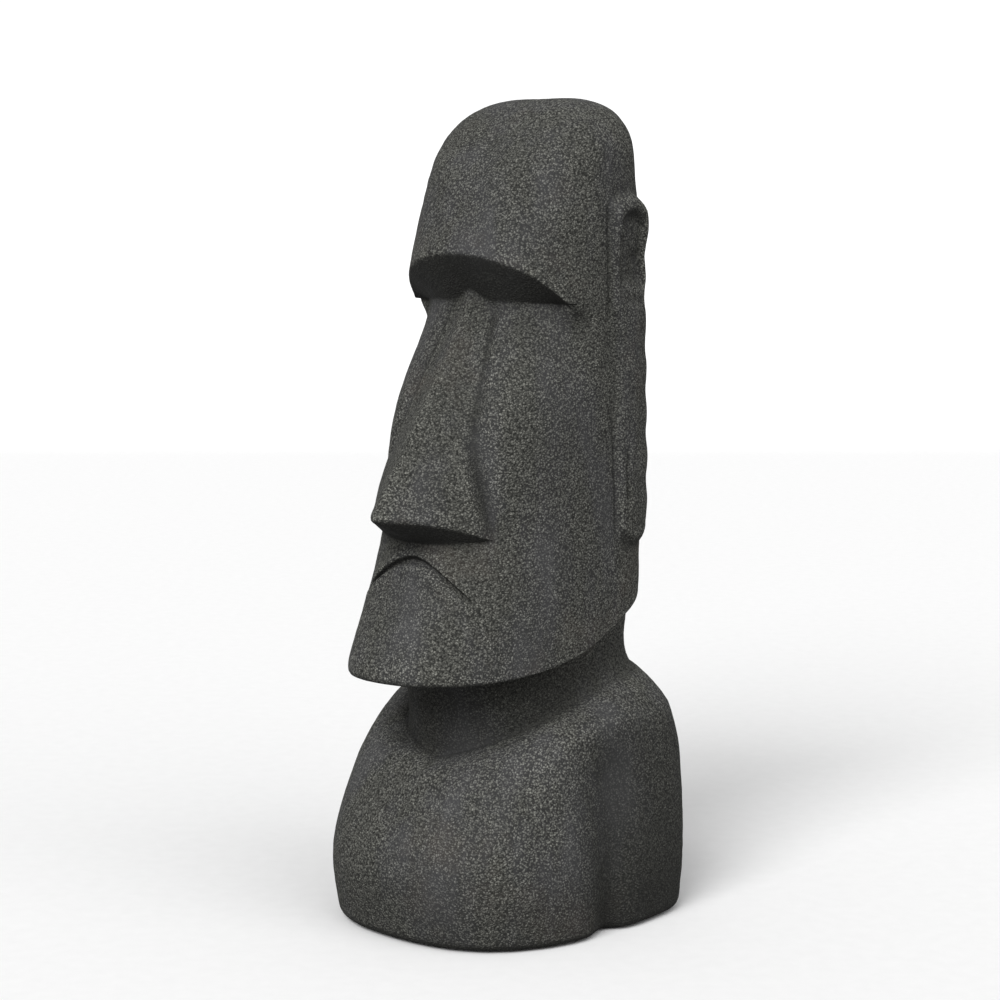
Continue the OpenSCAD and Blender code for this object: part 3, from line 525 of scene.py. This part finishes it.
def crown(a, t, inset):
    """Superellipse dome under a top that falls away before and behind its apex."""
    p = mix(CROWN_FRONT, CROWN_BACK, ease(np.abs(np.degrees(a)) / 150.0))
    soft = np.maximum(np.cos(np.pi / 2 * t), 0) ** p
    low = level(CROWN_LEVEL, a) - 0.3 * inset
    y = -(head_r(a, low) - inset) * soft * np.cos(a)
    top = TOP - inset - FALL * ((APEX - y) / FALL_RUN) ** 2
    z = mix(low, top, np.sin(np.pi / 2 * t) ** CROWN_RISE)
    return (head_r(a, z) - inset) * soft, z


# Stretch, its rows on the outer face; every count is a multiple of STEP
STEP = 4
STRETCHES = [(foot, 8), (torso, 44), (shoulder, 20), (neck, 16), (underjaw, 20), (chin, 32), (mouth, 12),
             (lip, 12), (nostril, 12), (cheek, 72), (hollow, 28), (forehead, 44), (crown, 44)]
NOSE_COLUMNS, CHEEK_COLUMNS, EAR_COLUMNS = 32, 68, 20
BACK_EAR_COLUMNS, BACK_COLUMNS = 40, 56


def front_angles(crease):
    """Columns of the front half: even from the middle to the nose's crease, even on to
    the ear, and even across the ear's front to the parting plane."""
    ear = np.radians(EAR_FRONT - 1.0)
    u = np.linspace(0, 1, NOSE_COLUMNS, endpoint=False) * crease
    v = crease + np.linspace(0, 1, CHEEK_COLUMNS, endpoint=False) * (ear - crease)
    w = np.linspace(ear, np.pi / 2, EAR_COLUMNS + 1) + 0 * crease
    half = np.concatenate([u, v, w], axis=1)
    return np.concatenate([-half[:, :0:-1], half], axis=1)


def back_angles(crease):
    """Columns of the back half, closer together across the ears."""
    ear = np.radians(EAR_BACK + 2.0)
    u = np.linspace(np.pi / 2, ear, BACK_EAR_COLUMNS, endpoint=False)
    v = np.linspace(ear, np.pi, BACK_COLUMNS + 1)
    half = np.concatenate([u, v])
    return np.concatenate([half, 2 * np.pi - half[-2::-1]])[None, :] + 0 * crease


def lattice(points, size, seed):
    """Value noise between 0 and 1: random numbers on a lattice, blended smoothly."""
    cells = LATTICE_CELLS
    table = np.random.default_rng(seed).random((cells, cells, cells))
    q = points / size + LATTICE_SHIFT
    i = np.floor(q).astype(int)
    f = ease(q - i)
    out = 0.0
    for dx in (0, 1):
        for dy in (0, 1):
            for dz in (0, 1):
                w = np.abs(1 - dx - f[..., 0]) * np.abs(1 - dy - f[..., 1]) * np.abs(1 - dz - f[..., 2])
                corner = (i + (dx, dy, dz)) % cells
                out = out + w * table[corner[..., 0], corner[..., 1], corner[..., 2]]
    return out


def worked(points, props):
    """Lumps and dabs: the points move inwards, towards the axis and, on the crown, down."""
    out = points.copy()
    toward = points - [0.0, AXIS_Y, 0.0]
    toward[..., 2] = np.maximum(points[..., 2] - PRESS_FROM, 0.0)
    toward /= np.linalg.norm(toward, axis=-1, keepdims=True) + 1e-9
    noises = [lattice(points, size, props.seed + i) for i, size in enumerate(LUMP_SIZES + DAB_SIZES)]
    lump = mix(noises[1], noises[0], COARSE_SHARE)
    dab = mix(noises[3], noises[2], COARSE_SHARE)
    depth = (props.lump * lump + props.dab * dab) / MM
    return out - toward * depth[..., None]


def sweep(angles, inset, step):
    """Rows of points over every stretch, a whole stretch at a time, and the top point."""
    rows = []
    for stretch, count in STRETCHES:
        t = (np.arange(0, count, step) / count)[:, None]
        middle = stretch(np.zeros_like(t), t, 0.0)[1]
        a = angles(crease_angle(np.clip(middle, NOSE, EYE)))[:, ::step]
        a = np.where(a > np.pi, a - 2 * np.pi, a)
        r, z = stretch(a, t, inset)
        rows.append(np.stack([r * np.sin(a), AXIS_Y - r * np.cos(a), z + 0 * a], axis=-1))
    top = TOP - inset - FALL * (APEX / FALL_RUN) ** 2
    return np.concatenate(rows), np.array([0.0, AXIS_Y, top])


def relief_of(points):
    """How far each point stands out from, or lies below, the surface averaged over some
    15 mm round it, in millimetres: the dot product of that offset and the way outwards."""
    broad = softened(points, RELIEF_PASSES)
    broad = softened(broad.swapaxes(0, 1), RELIEF_PASSES).swapaxes(0, 1)
    return np.einsum("ijk,ijk->ij", points - broad, outward(points))


def outward(points):
    """Unit normals of a grid, from the cross product of its two directions."""
    across = np.gradient(points, axis=1)
    up = np.gradient(points, axis=0)
    normal = np.cross(across, up)
    return normal / (np.linalg.norm(normal, axis=-1, keepdims=True) + 1e-9)


def painted_shade_of(points):
    """Painted shade: 0 on faces that look up or level, 1 on those that look down by 35 degrees or more, with
    some added round the neck, on the arms, towards the foot and in the nose's crease, where shade falls."""
    down = ease((-outward(softened(points, 3))[..., 2] - DOWN_FROM) / DOWN_RUN)
    turn = np.degrees(np.abs(np.arctan2(points[..., 0], AXIS_Y - points[..., 1])))
    z = points[..., 2]
    neck_band = ease((z - BAND_LOW) / 12.0) * ease((BAND_TOP - z) / 12.0)
    near = np.hypot(points[..., 0] / NECK_HALF, (points[..., 1] - AXIS_Y) / THROAT)
    neck_band = neck_band * ease((BAND_REACH - near) / 0.2) * ease((100.0 - turn) / 60.0)
    arms = ease((turn - ARMS_FROM) / 25.0) * ease((ARMS_TOP - z) / 60.0)
    low = ease((LOW_TOP - z) / LOW_TOP)
    fold = nose_crease(np.radians(turn), z, 0.5, 0.55)
    painted_shade = down + BAND_SHARE * neck_band + ARMS_SHARE * arms + LOW_SHARE * low + FOLD_SHARE * fold
    return np.clip(painted_shade, 0.0, 1.0)


def softened(grid, passes):
    """Each column averaged along its length (weights 1, 2, 1), which rounds the edges."""
    out = grid.copy()
    for _ in range(passes):
        out[1:-1] = (out[:-2] + 2 * out[1:-1] + out[2:]) / 4
    return out


def half_skin(angles, props):
    """Points, marks and faces of one closed half: outer face, inner face, seam faces and foot rim. The marks
    are relief and painted shade, for the pigment."""
    outer, top = sweep(angles, 0.0, 1)
    outer = worked(softened(outer, props.edge_soft), props)
    inner, top_in = sweep(angles, props.wall / MM, STEP)
    top = worked(top[None, :], props)[0]
    rows, cols = outer.shape[:2]
    rows_in, cols_in = inner.shape[:2]
    tip = rows * cols
    base = tip + 1
    tip_in = base + rows_in * cols_in
    points = np.concatenate([outer.reshape(-1, 3), top[None], inner.reshape(-1, 3), top_in[None]])
    marks = np.zeros((len(points), 2))
    marks[:tip, 0] = relief_of(outer).ravel()
    marks[:tip, 1] = painted_shade_of(outer).ravel()
    ids = np.arange(tip).reshape(rows, cols)
    ids_in = base + np.arange(rows_in * cols_in).reshape(rows_in, cols_in)
    quads = [quad_faces(ids), quad_faces(ids_in)[:, ::-1]]
    left = (np.append(ids[:, 0], tip), np.append(ids_in[:, 0], tip_in))
    right = (np.append(ids[:, -1], tip), np.append(ids_in[:, -1], tip_in))
    triangles = [
        fan_faces(ids[-1], tip),
        fan_faces(ids_in[-1], tip_in)[:, ::-1],
        strip_faces(*left),
        strip_faces(*right)[:, ::-1],
        strip_faces(ids[0], ids_in[0])[:, ::-1],
    ]
    return points, marks, np.concatenate(quads), np.concatenate(triangles)


def quad_faces(ids):
    """Faces of a grid of point numbers."""
    return np.stack([ids[:-1, :-1], ids[:-1, 1:], ids[1:, 1:], ids[1:, :-1]], axis=-1).reshape(-1, 4)


def fan_faces(row, tip):
    """Faces from a row to one point."""
    return np.stack([row[:-1], row[1:], np.full(len(row) - 1, tip)], axis=-1)


def strip_faces(fine, coarse):
    """Faces between a fine edge and a coarse one with one point for each STEP of it."""
    near = (np.arange(len(fine) - 1) + STEP // 2) // STEP
    to_coarse = np.stack([fine[:-1], coarse[near], fine[1:]], axis=-1)
    middle = np.arange(len(coarse) - 1) * STEP + STEP // 2
    to_fine = np.stack([coarse[:-1], coarse[1:], fine[middle]], axis=-1)
    return np.concatenate([to_coarse, to_fine])


def skin_object(name, angles, props):
    """Mesh object of one half, in metres, shaded smooth with its rim kept crisp."""
    points, marks, quads, triangles = half_skin(angles, props)
    corners = np.concatenate([quads.ravel(), triangles.ravel()]).astype(np.int32)
    sizes = np.concatenate([np.full(len(quads), 4), np.full(len(triangles), 3)])
    starts = np.concatenate([[0], np.cumsum(sizes)[:-1]]).astype(np.int32)
    mesh = bpy.data.meshes.new(name)
    mesh.vertices.add(len(points))
    mesh.vertices.foreach_set("co", (points * MM).astype(np.float32).ravel())
    mesh.loops.add(len(corners))
    mesh.loops.foreach_set("vertex_index", corners)
    mesh.polygons.add(len(sizes))
    mesh.polygons.foreach_set("loop_start", starts)
    mesh.update(calc_edges=True)
    if mesh.validate():
        raise RuntimeError(name + ": its faces needed repair")
    mesh.shade_smooth()
    # The second mark is the painted shade.
    for name_of_mark, values in zip(("relief", "painted_shade"), marks.T):
        mark = mesh.attributes.new(name_of_mark, "FLOAT", "POINT")
        mark.data.foreach_set("value", values.astype(np.float32))
    mesh.set_sharp_from_angle(angle=np.radians(SHARP_FROM))
    thing = bpy.data.objects.new(name, mesh)
    bpy.context.scene.collection.objects.link(thing)
    return thing


# ---------------------------------------------------------------- materials

# Noise scales, in cells per metre, and the squash that stretches the streaks upwards
PATCH_SCALE, DUST_SCALE, CLOUD_SCALE, FLOOR_SCALE, STREAK = 17.0, 9.0, 32.0, 60.0, (1.0, 1.0, 0.3)
# Relief in millimetres at which the grain tops are fewest, a painted shade in hollows, and most, as rubbed
# wear on raised edges, and shares of the pigments, the last two for the painted shade
RELIEF_FULL, PATCH_SHARE, PATCH_LIGHT, DUST_SHARE, SHADE_SHARE, SHADE_DARK = 2.2, 0.5, 2.1, 0.14, 0.86, 0.9


def new_material(name):
    """Material with an empty node tree but its output."""
    material = bpy.data.materials.new(name)
    material.use_nodes = True
    tree = material.node_tree
    tree.nodes.clear()
    return material, tree


def add(tree, kind, inputs=None, **settings):
    """Node of a kind, with its settings and constant inputs."""
    node = tree.nodes.new(kind)
    for key, value in settings.items():
        setattr(node, key, value)
    for key, value in (inputs or {}).items():
        node.inputs[key].default_value = value
    return node


def join(tree, source, target):
    """Link between two sockets."""
    tree.links.new(source, target)


def ramp(tree, source, stops, interpolation="LINEAR"):
    """Colour ramp over a mask; stops are place and colour."""
    node = add(tree, "ShaderNodeValToRGB")
    node.color_ramp.interpolation = interpolation
    elements = node.color_ramp.elements
    while len(elements) < len(stops):
        elements.new(0.5)
    for element, (place, colour) in zip(elements, stops):
        element.position = place
        element.color = (*colour, 1.0)
    join(tree, source, node.inputs[0])
    return node.outputs[0]


def grey(value):
    """Grey as a colour."""
    return (value, value, value)


def blend_colours(tree, share, first, second, mode="MIX"):
    """Mix of two colours by a mask; first and second are sockets or colours."""
    node = add(tree, "ShaderNodeMix", data_type="RGBA", blend_type=mode)
    for socket, value in ((node.inputs[0], share), (node.inputs[6], first), (node.inputs[7], second)):
        if isinstance(value, bpy.types.NodeSocket):
            join(tree, value, socket)
        elif socket == node.inputs[0]:
            socket.default_value = value
        else:
            socket.default_value = (*value, 1.0)
    return node.outputs[2]


def sum_of(tree, operation, first, second):
    """Maths node over two sockets or numbers."""
    node = add(tree, "ShaderNodeMath", operation=operation)
    for i, value in enumerate((first, second)):
        if isinstance(value, bpy.types.NodeSocket):
            join(tree, value, node.inputs[i])
        else:
            node.inputs[i].default_value = value
    return node.outputs[0]


def noise_at(tree, place, scale, detail=2.0, roughness=0.5, distortion=0.0):
    """Noise texture over a place socket."""
    node = add(
        tree, "ShaderNodeTexNoise",
        {"Scale": scale, "Detail": detail, "Roughness": roughness, "Distortion": distortion},
    )
    join(tree, place, node.inputs["Vector"])
    return node.outputs[0]


def cast_grain_group(stone):
    """Node group: dabbed grain as a height, a mask of rubbed grain tops, a mask of the
    smooth patches, a mask of the dusty ones and slow light and dark clouds."""
    group = bpy.data.node_groups.new("Cast grain", "ShaderNodeTree")
    for name in ("Height", "Grains", "Patches", "Dust", "Clouds"):
        group.interface.new_socket(name, in_out="OUTPUT", socket_type="NodeSocketFloat")
    place = add(group, "ShaderNodeTexCoord").outputs["Object"]
    tall = add(group, "ShaderNodeMapping")
    tall.inputs["Scale"].default_value = STREAK
    join(group, place, tall.inputs[0])
    rate = 1.0 / stone.grain
    stir = add(group, "ShaderNodeTexNoise", {"Scale": 0.8 * rate, "Detail": 0.0})
    join(group, place, stir.inputs["Vector"])
    nudge = add(group, "ShaderNodeVectorMath", operation="SCALE")
    nudge.inputs["Scale"].default_value = 0.9 * stone.grain
    join(group, stir.outputs["Color"], nudge.inputs[0])
    moved = add(group, "ShaderNodeVectorMath", operation="ADD")
    join(group, place, moved.inputs[0])
    join(group, nudge.outputs[0], moved.inputs[1])
    dabs = add(group, "ShaderNodeTexVoronoi", {"Scale": rate})
    join(group, moved.outputs[0], dabs.inputs["Vector"])
    worm = noise_at(group, place, 0.75 * rate, 1.0, 0.6)
    tops = ramp(group, dabs.outputs["Distance"], [(0.12, grey(1.0)), (0.62, grey(0.0))])
    own = add(group, "ShaderNodeSeparateColor")
    join(group, dabs.outputs["Color"], own.inputs[0])
    chance = ramp(group, own.outputs[0], [(0.05, grey(0.22)), (0.95, grey(1.0))])
    wormed = ramp(group, worm, [(0.34, grey(0.3)), (0.58, grey(1.0))])
    grains = sum_of(group, "MULTIPLY", sum_of(group, "MULTIPLY", tops, chance), wormed)
    grit = sum_of(group, "ADD", sum_of(group, "MULTIPLY", tops, 0.6), sum_of(group, "MULTIPLY", worm, 0.6))
    broad = noise_at(group, tall.outputs[0], PATCH_SCALE, 4.0, 0.6)
    patches = ramp(group, broad, [(0.44, grey(0.0)), (0.64, grey(1.0))])
    dust = ramp(group, noise_at(group, place, DUST_SCALE, 4.0, 0.6), [(0.56, grey(0.0)), (0.72, grey(1.0))])
    clouds = noise_at(group, tall.outputs[0], CLOUD_SCALE, 4.0, 0.6)
    calm = sum_of(group, "SUBTRACT", 1.0, sum_of(group, "MULTIPLY", patches, 0.6))
    height = sum_of(group, "MULTIPLY", grit, calm)
    out = add(group, "NodeGroupOutput")
    for name, socket in (("Height", height), ("Grains", grains), ("Patches", patches), ("Dust", dust),
                         ("Clouds", clouds)):
        join(group, socket, out.inputs[name])
    return group


def stone_material(name, group, stone):
    """Charcoal cast stone: dark pits, rubbed grain tops that are brighter on raised edges as wear and fewer
    in hollows as painted shade, smooth bluish patches, a little brown dust, and painted shade that darkens
    faces looking down, the neck, the arms, the lower torso and the nose's crease."""
    material, tree = new_material(name)
    grain = add(tree, "ShaderNodeGroup")
    grain.node_tree = group
    relief = add(tree, "ShaderNodeAttribute", attribute_name="relief").outputs["Fac"]
    painted_shade = add(tree, "ShaderNodeAttribute", attribute_name="painted_shade").outputs["Fac"]
    # Grain tops thin out in hollows, a painted shade, and gather on raised edges as rubbed wear, by the
    # relief mark.
    worn = add(
        tree, "ShaderNodeMapRange",
        {"From Min": -RELIEF_FULL, "From Max": RELIEF_FULL, "To Min": 0.35, "To Max": 1.5},
    )
    join(tree, relief, worn.inputs[0])
    patch = sum_of(tree, "MULTIPLY", grain.outputs["Patches"], PATCH_SHARE)
    filled = ramp(tree, grain.outputs["Height"], [(0.22, grey(0.0)), (0.42, grey(1.0))])
    base = blend_colours(tree, filled, tuple(stone.dark), tuple(stone.body))
    base = blend_colours(tree, patch, base, tuple(stone.worn))
    tops = blend_colours(tree, patch, tuple(stone.light), tuple(PATCH_LIGHT * part for part in stone.worn))
    cloud = add(
        tree, "ShaderNodeMapRange", {"From Min": 0.3, "From Max": 0.7, "To Min": 0.72, "To Max": 1.1}
    )
    join(tree, grain.outputs["Clouds"], cloud.inputs[0])
    clouded = sum_of(tree, "MULTIPLY", grain.outputs["Grains"], cloud.outputs[0])
    share = sum_of(tree, "MULTIPLY", clouded, worn.outputs[0])
    body = blend_colours(tree, share, base, tops)
    dusty = sum_of(tree, "MULTIPLY", grain.outputs["Dust"], DUST_SHARE)
    body = blend_colours(tree, dusty, body, tuple(stone.dust))
    # Painted shade: the colour goes towards a darker copy of the pits' colour by the shade mark, on faces
    # that look down, round the neck, on the arms, towards the foot and in the nose's crease.
    shade = sum_of(tree, "MULTIPLY", painted_shade, SHADE_SHARE)
    body = blend_colours(tree, shade, body, tuple(SHADE_DARK * part for part in stone.dark))
    rough = add(tree, "ShaderNodeMapRange", {"To Min": 0.9, "To Max": 0.72})
    join(tree, grain.outputs["Patches"], rough.inputs[0])
    bump = add(tree, "ShaderNodeBump", {"Strength": 1.0, "Distance": stone.grain_depth})
    join(tree, grain.outputs["Height"], bump.inputs["Height"])
    shader = add(tree, "ShaderNodeBsdfPrincipled", {"Specular IOR Level": 0.3})
    join(tree, body, shader.inputs["Base Color"])
    join(tree, rough.outputs[0], shader.inputs["Roughness"])
    join(tree, bump.outputs[0], shader.inputs["Normal"])
    join(tree, shader.outputs[0], add(tree, "ShaderNodeOutputMaterial").inputs[0])
    return material


def mottled_material(name, colours, scale, rough, metal=0.0, depth=0.0003):
    """Matte or metal finish: two colours mottled by noise, with roughness and bump from it."""
    material, tree = new_material(name)
    place = add(tree, "ShaderNodeTexCoord").outputs["Object"]
    noise = add(tree, "ShaderNodeTexNoise", {"Scale": scale, "Detail": 6.0, "Roughness": 0.6})
    cells = add(tree, "ShaderNodeTexVoronoi", {"Scale": 0.7 * scale})
    for node in (noise, cells):
        join(tree, place, node.inputs["Vector"])
    both = sum_of(tree, "MULTIPLY", sum_of(tree, "ADD", noise.outputs[0], cells.outputs[0]), 0.6)
    tone = ramp(tree, both, [(0.3, colours[0]), (0.75, colours[1])])
    gloss = add(tree, "ShaderNodeMapRange", {"To Min": rough[0], "To Max": rough[1]})
    join(tree, both, gloss.inputs[0])
    bump = add(tree, "ShaderNodeBump", {"Strength": 0.8, "Distance": depth})
    join(tree, both, bump.inputs["Height"])
    shader = add(tree, "ShaderNodeBsdfPrincipled", {"Metallic": metal})
    join(tree, tone, shader.inputs["Base Color"])
    join(tree, gloss.outputs[0], shader.inputs["Roughness"])
    join(tree, bump.outputs[0], shader.inputs["Normal"])
    join(tree, shader.outputs[0], add(tree, "ShaderNodeOutputMaterial").inputs[0])
    return material


def dress(nodes, material):
    """Puts a material in every slot of the named CAD nodes."""
    for name in nodes:
        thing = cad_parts[name]
        for slot in thing.material_slots:
            slot.material = material


# ---------------------------------------------------------------- operators


class HEAD_OT_skin(bpy.types.Operator):
    """Sweeps the two cast halves and gives them the stone"""

    bl_idname = "garden_head.skin"
    bl_label = "Cast skin"

    def execute(self, context):
        scene = context.scene
        group = cast_grain_group(scene.head_stone)
        halves = [
            ("front_skin", "front_shell", "front_stone", front_angles),
            ("back_skin", "back_shell", "back_stone", back_angles),
        ]
        for name, node, slot, angles in halves:
            piece = skin_object(name, angles, scene.head_sizes)
            piece.data.materials.append(stone_material(slot.replace("_", " "), group, scene.head_stone))
            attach(piece, "root")
            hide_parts(node)
        return {"FINISHED"}


class HEAD_OT_fittings(bpy.types.Operator):
    """Gives the foam, the board, the steel and the rubber their finishes"""

    bl_idname = "garden_head.fittings"
    bl_label = "Base and core finishes"

    def execute(self, context):
        foam = mottled_material("bead foam", [(0.62, 0.63, 0.65), (0.86, 0.87, 0.88)], 220.0, (0.5, 0.8))
        board = mottled_material("fibre cement", [(0.27, 0.26, 0.24), (0.42, 0.41, 0.38)], 60.0, (0.8, 0.95))
        greys = [(0.42, 0.43, 0.45), (0.66, 0.67, 0.68)]
        zinc = mottled_material("zinc", greys, 90.0, (0.35, 0.6), metal=1.0)
        greys = [(0.5, 0.5, 0.51), (0.7, 0.7, 0.7)]
        bright = mottled_material("bright steel", greys, 140.0, (0.25, 0.45), metal=1.0)
        rubber = mottled_material("rubber", [(0.012, 0.012, 0.012), (0.03, 0.03, 0.03)], 300.0, (0.7, 0.9))
        dress(["head_core", "torso_core"], foam)
        dress(["base_board", "base_cleats"], board)
        dress(["spine_rod_left", "spine_rod_right", "spine_rungs", "spine_plate", "seam_dowels"], zinc)
        dress(["plate_bolts", "plate_nuts", "base_screws", "foot_screws", "anchor_sockets"], bright)
        dress(["foot_pads"], rubber)
        return {"FINISHED"}


class HEAD_OT_stage(bpy.types.Operator):
    """Sets the pale floor, the soft lights and the camera"""

    bl_idname = "garden_head.stage"
    bl_label = "Studio"

    def execute(self, context):
        stage = context.scene.head_stage
        add_floor()
        add_world(context.scene, stage.sky)
        add_camera(context.scene, stage)
        add_light("key", stage.key_from, 38.0, 32.0, stage.key)
        add_light("fill", stage.fill_from, 42.0, 50.0, stage.fill)
        context.scene.view_settings.view_transform = "Standard"
        return {"FINISHED"}


def add_floor():
    """Pale floor that curves up into a backdrop: a profile swept sideways."""
    turn = np.linspace(0, np.pi / 2, 24)
    y = np.concatenate([[-6.0, 0.0], 4.0 + 1.5 * np.sin(turn), [5.5]])
    z = np.concatenate([[0.0, 0.0], 1.5 - 1.5 * np.cos(turn), [6.0]])
    x = np.array([-8.0, 8.0])
    points = np.array([(px, py, pz) for py, pz in zip(y, z) for px in x])
    faces = [(2 * i, 2 * i + 1, 2 * i + 3, 2 * i + 2) for i in range(len(y) - 1)]
    mesh = bpy.data.meshes.new("floor")
    mesh.from_pydata(points.tolist(), [], faces)
    mesh.shade_smooth()
    floor = bpy.data.objects.new("floor", mesh)
    floor.rotation_euler = (0.0, 0.0, np.radians(40.0))
    floor.data.materials.append(floor_material())
    bpy.context.scene.collection.objects.link(floor)


def floor_material():
    """Pale matte floor that throws less light back up than it shows."""
    material, tree = new_material("pale floor")
    place = add(tree, "ShaderNodeTexCoord").outputs["Object"]
    tone = ramp(tree, noise_at(tree, place, FLOOR_SCALE, 3.0), [(0.3, grey(0.90)), (0.7, grey(0.92))])
    seen = add(tree, "ShaderNodeLightPath").outputs["Is Camera Ray"]
    shader = add(tree, "ShaderNodeBsdfPrincipled", {"Roughness": 0.9, "Specular IOR Level": 0.0})
    join(tree, blend_colours(tree, seen, grey(0.34), tone), shader.inputs["Base Color"])
    join(tree, shader.outputs[0], add(tree, "ShaderNodeOutputMaterial").inputs[0])
    return material


def add_world(scene, strength):
    """Even pale surround, seen as white and lighting the figure with less strength."""
    world = bpy.data.worlds.new("surround")
    world.use_nodes = True
    tree = world.node_tree
    background = tree.nodes["Background"]
    background.inputs["Color"].default_value = (1.0, 1.0, 1.0, 1.0)
    seen = add(tree, "ShaderNodeMapRange", {"To Min": strength, "To Max": 1.0})
    join(tree, add(tree, "ShaderNodeLightPath").outputs["Is Camera Ray"], seen.inputs[0])
    join(tree, seen.outputs[0], background.inputs["Strength"])
    scene.world = world


def add_light(name, turn, rise, softness, power):
    """Broad light from far off, as from a large soft box: turn about the figure, rise
    above the floor and the angle that the source fills, all in degrees."""
    data = bpy.data.lights.new(name, "SUN")
    data.energy = power
    data.angle = np.radians(softness)
    light = bpy.data.objects.new(name, data)
    turn, rise = np.radians(turn), np.radians(rise)
    way = Vector((np.sin(turn) * np.cos(rise), -np.cos(turn) * np.cos(rise), np.sin(rise)))
    light.location = 3.0 * way
    light.rotation_euler = way.to_track_quat("Z", "Y").to_euler()
    bpy.context.scene.collection.objects.link(light)


def add_camera(scene, stage):
    """Camera at the figure's front left, level with its brow."""
    turn = np.radians(stage.azimuth)
    right = Vector((np.cos(turn), np.sin(turn), 0.0))
    back = Vector((np.sin(turn), -np.cos(turn), 0.0))
    foot_point = Vector((0.0, AXIS_Y * MM, 0.0)) + stage.pan * right
    data = bpy.data.cameras.new("camera")
    data.lens = stage.lens
    data.sensor_width = 36.0
    camera = bpy.data.objects.new("camera", data)
    camera.location = foot_point + stage.distance * back + Vector((0.0, 0.0, stage.height))
    target = foot_point + Vector((0.0, 0.0, stage.aim))
    camera.rotation_euler = (target - camera.location).to_track_quat("-Z", "Y").to_euler()
    scene.collection.objects.link(camera)
    scene.camera = camera


class HEAD_PT_panel(bpy.types.Panel):
    """Sidebar panel"""

    bl_label = "Garden head"
    bl_idname = "HEAD_PT_panel"
    bl_space_type = "VIEW_3D"
    bl_region_type = "UI"
    bl_category = "Garden head"

    def draw(self, context):
        layout = self.layout
        for group in (context.scene.head_sizes, context.scene.head_stone, context.scene.head_stage):
            column = layout.column()
            for key in group.__annotations__:
                column.prop(group, key)
        for operator in (HEAD_OT_skin, HEAD_OT_fittings, HEAD_OT_stage):
            layout.operator(operator.bl_idname)


CLASSES = (HeadProps, StoneProps, StageProps, HEAD_OT_skin, HEAD_OT_fittings, HEAD_OT_stage, HEAD_PT_panel)


def register():
    for item in CLASSES:
        bpy.utils.register_class(item)
    bpy.types.Scene.head_sizes = PointerProperty(type=HeadProps)
    bpy.types.Scene.head_stone = PointerProperty(type=StoneProps)
    bpy.types.Scene.head_stage = PointerProperty(type=StageProps)


def unregister():
    del bpy.types.Scene.head_stage
    del bpy.types.Scene.head_stone
    del bpy.types.Scene.head_sizes
    for item in reversed(CLASSES):
        bpy.utils.unregister_class(item)


def main():
    register()
    bpy.ops.garden_head.skin()
    bpy.ops.garden_head.fittings()
    bpy.ops.garden_head.stage()


if __name__ == "__main__":
    main()
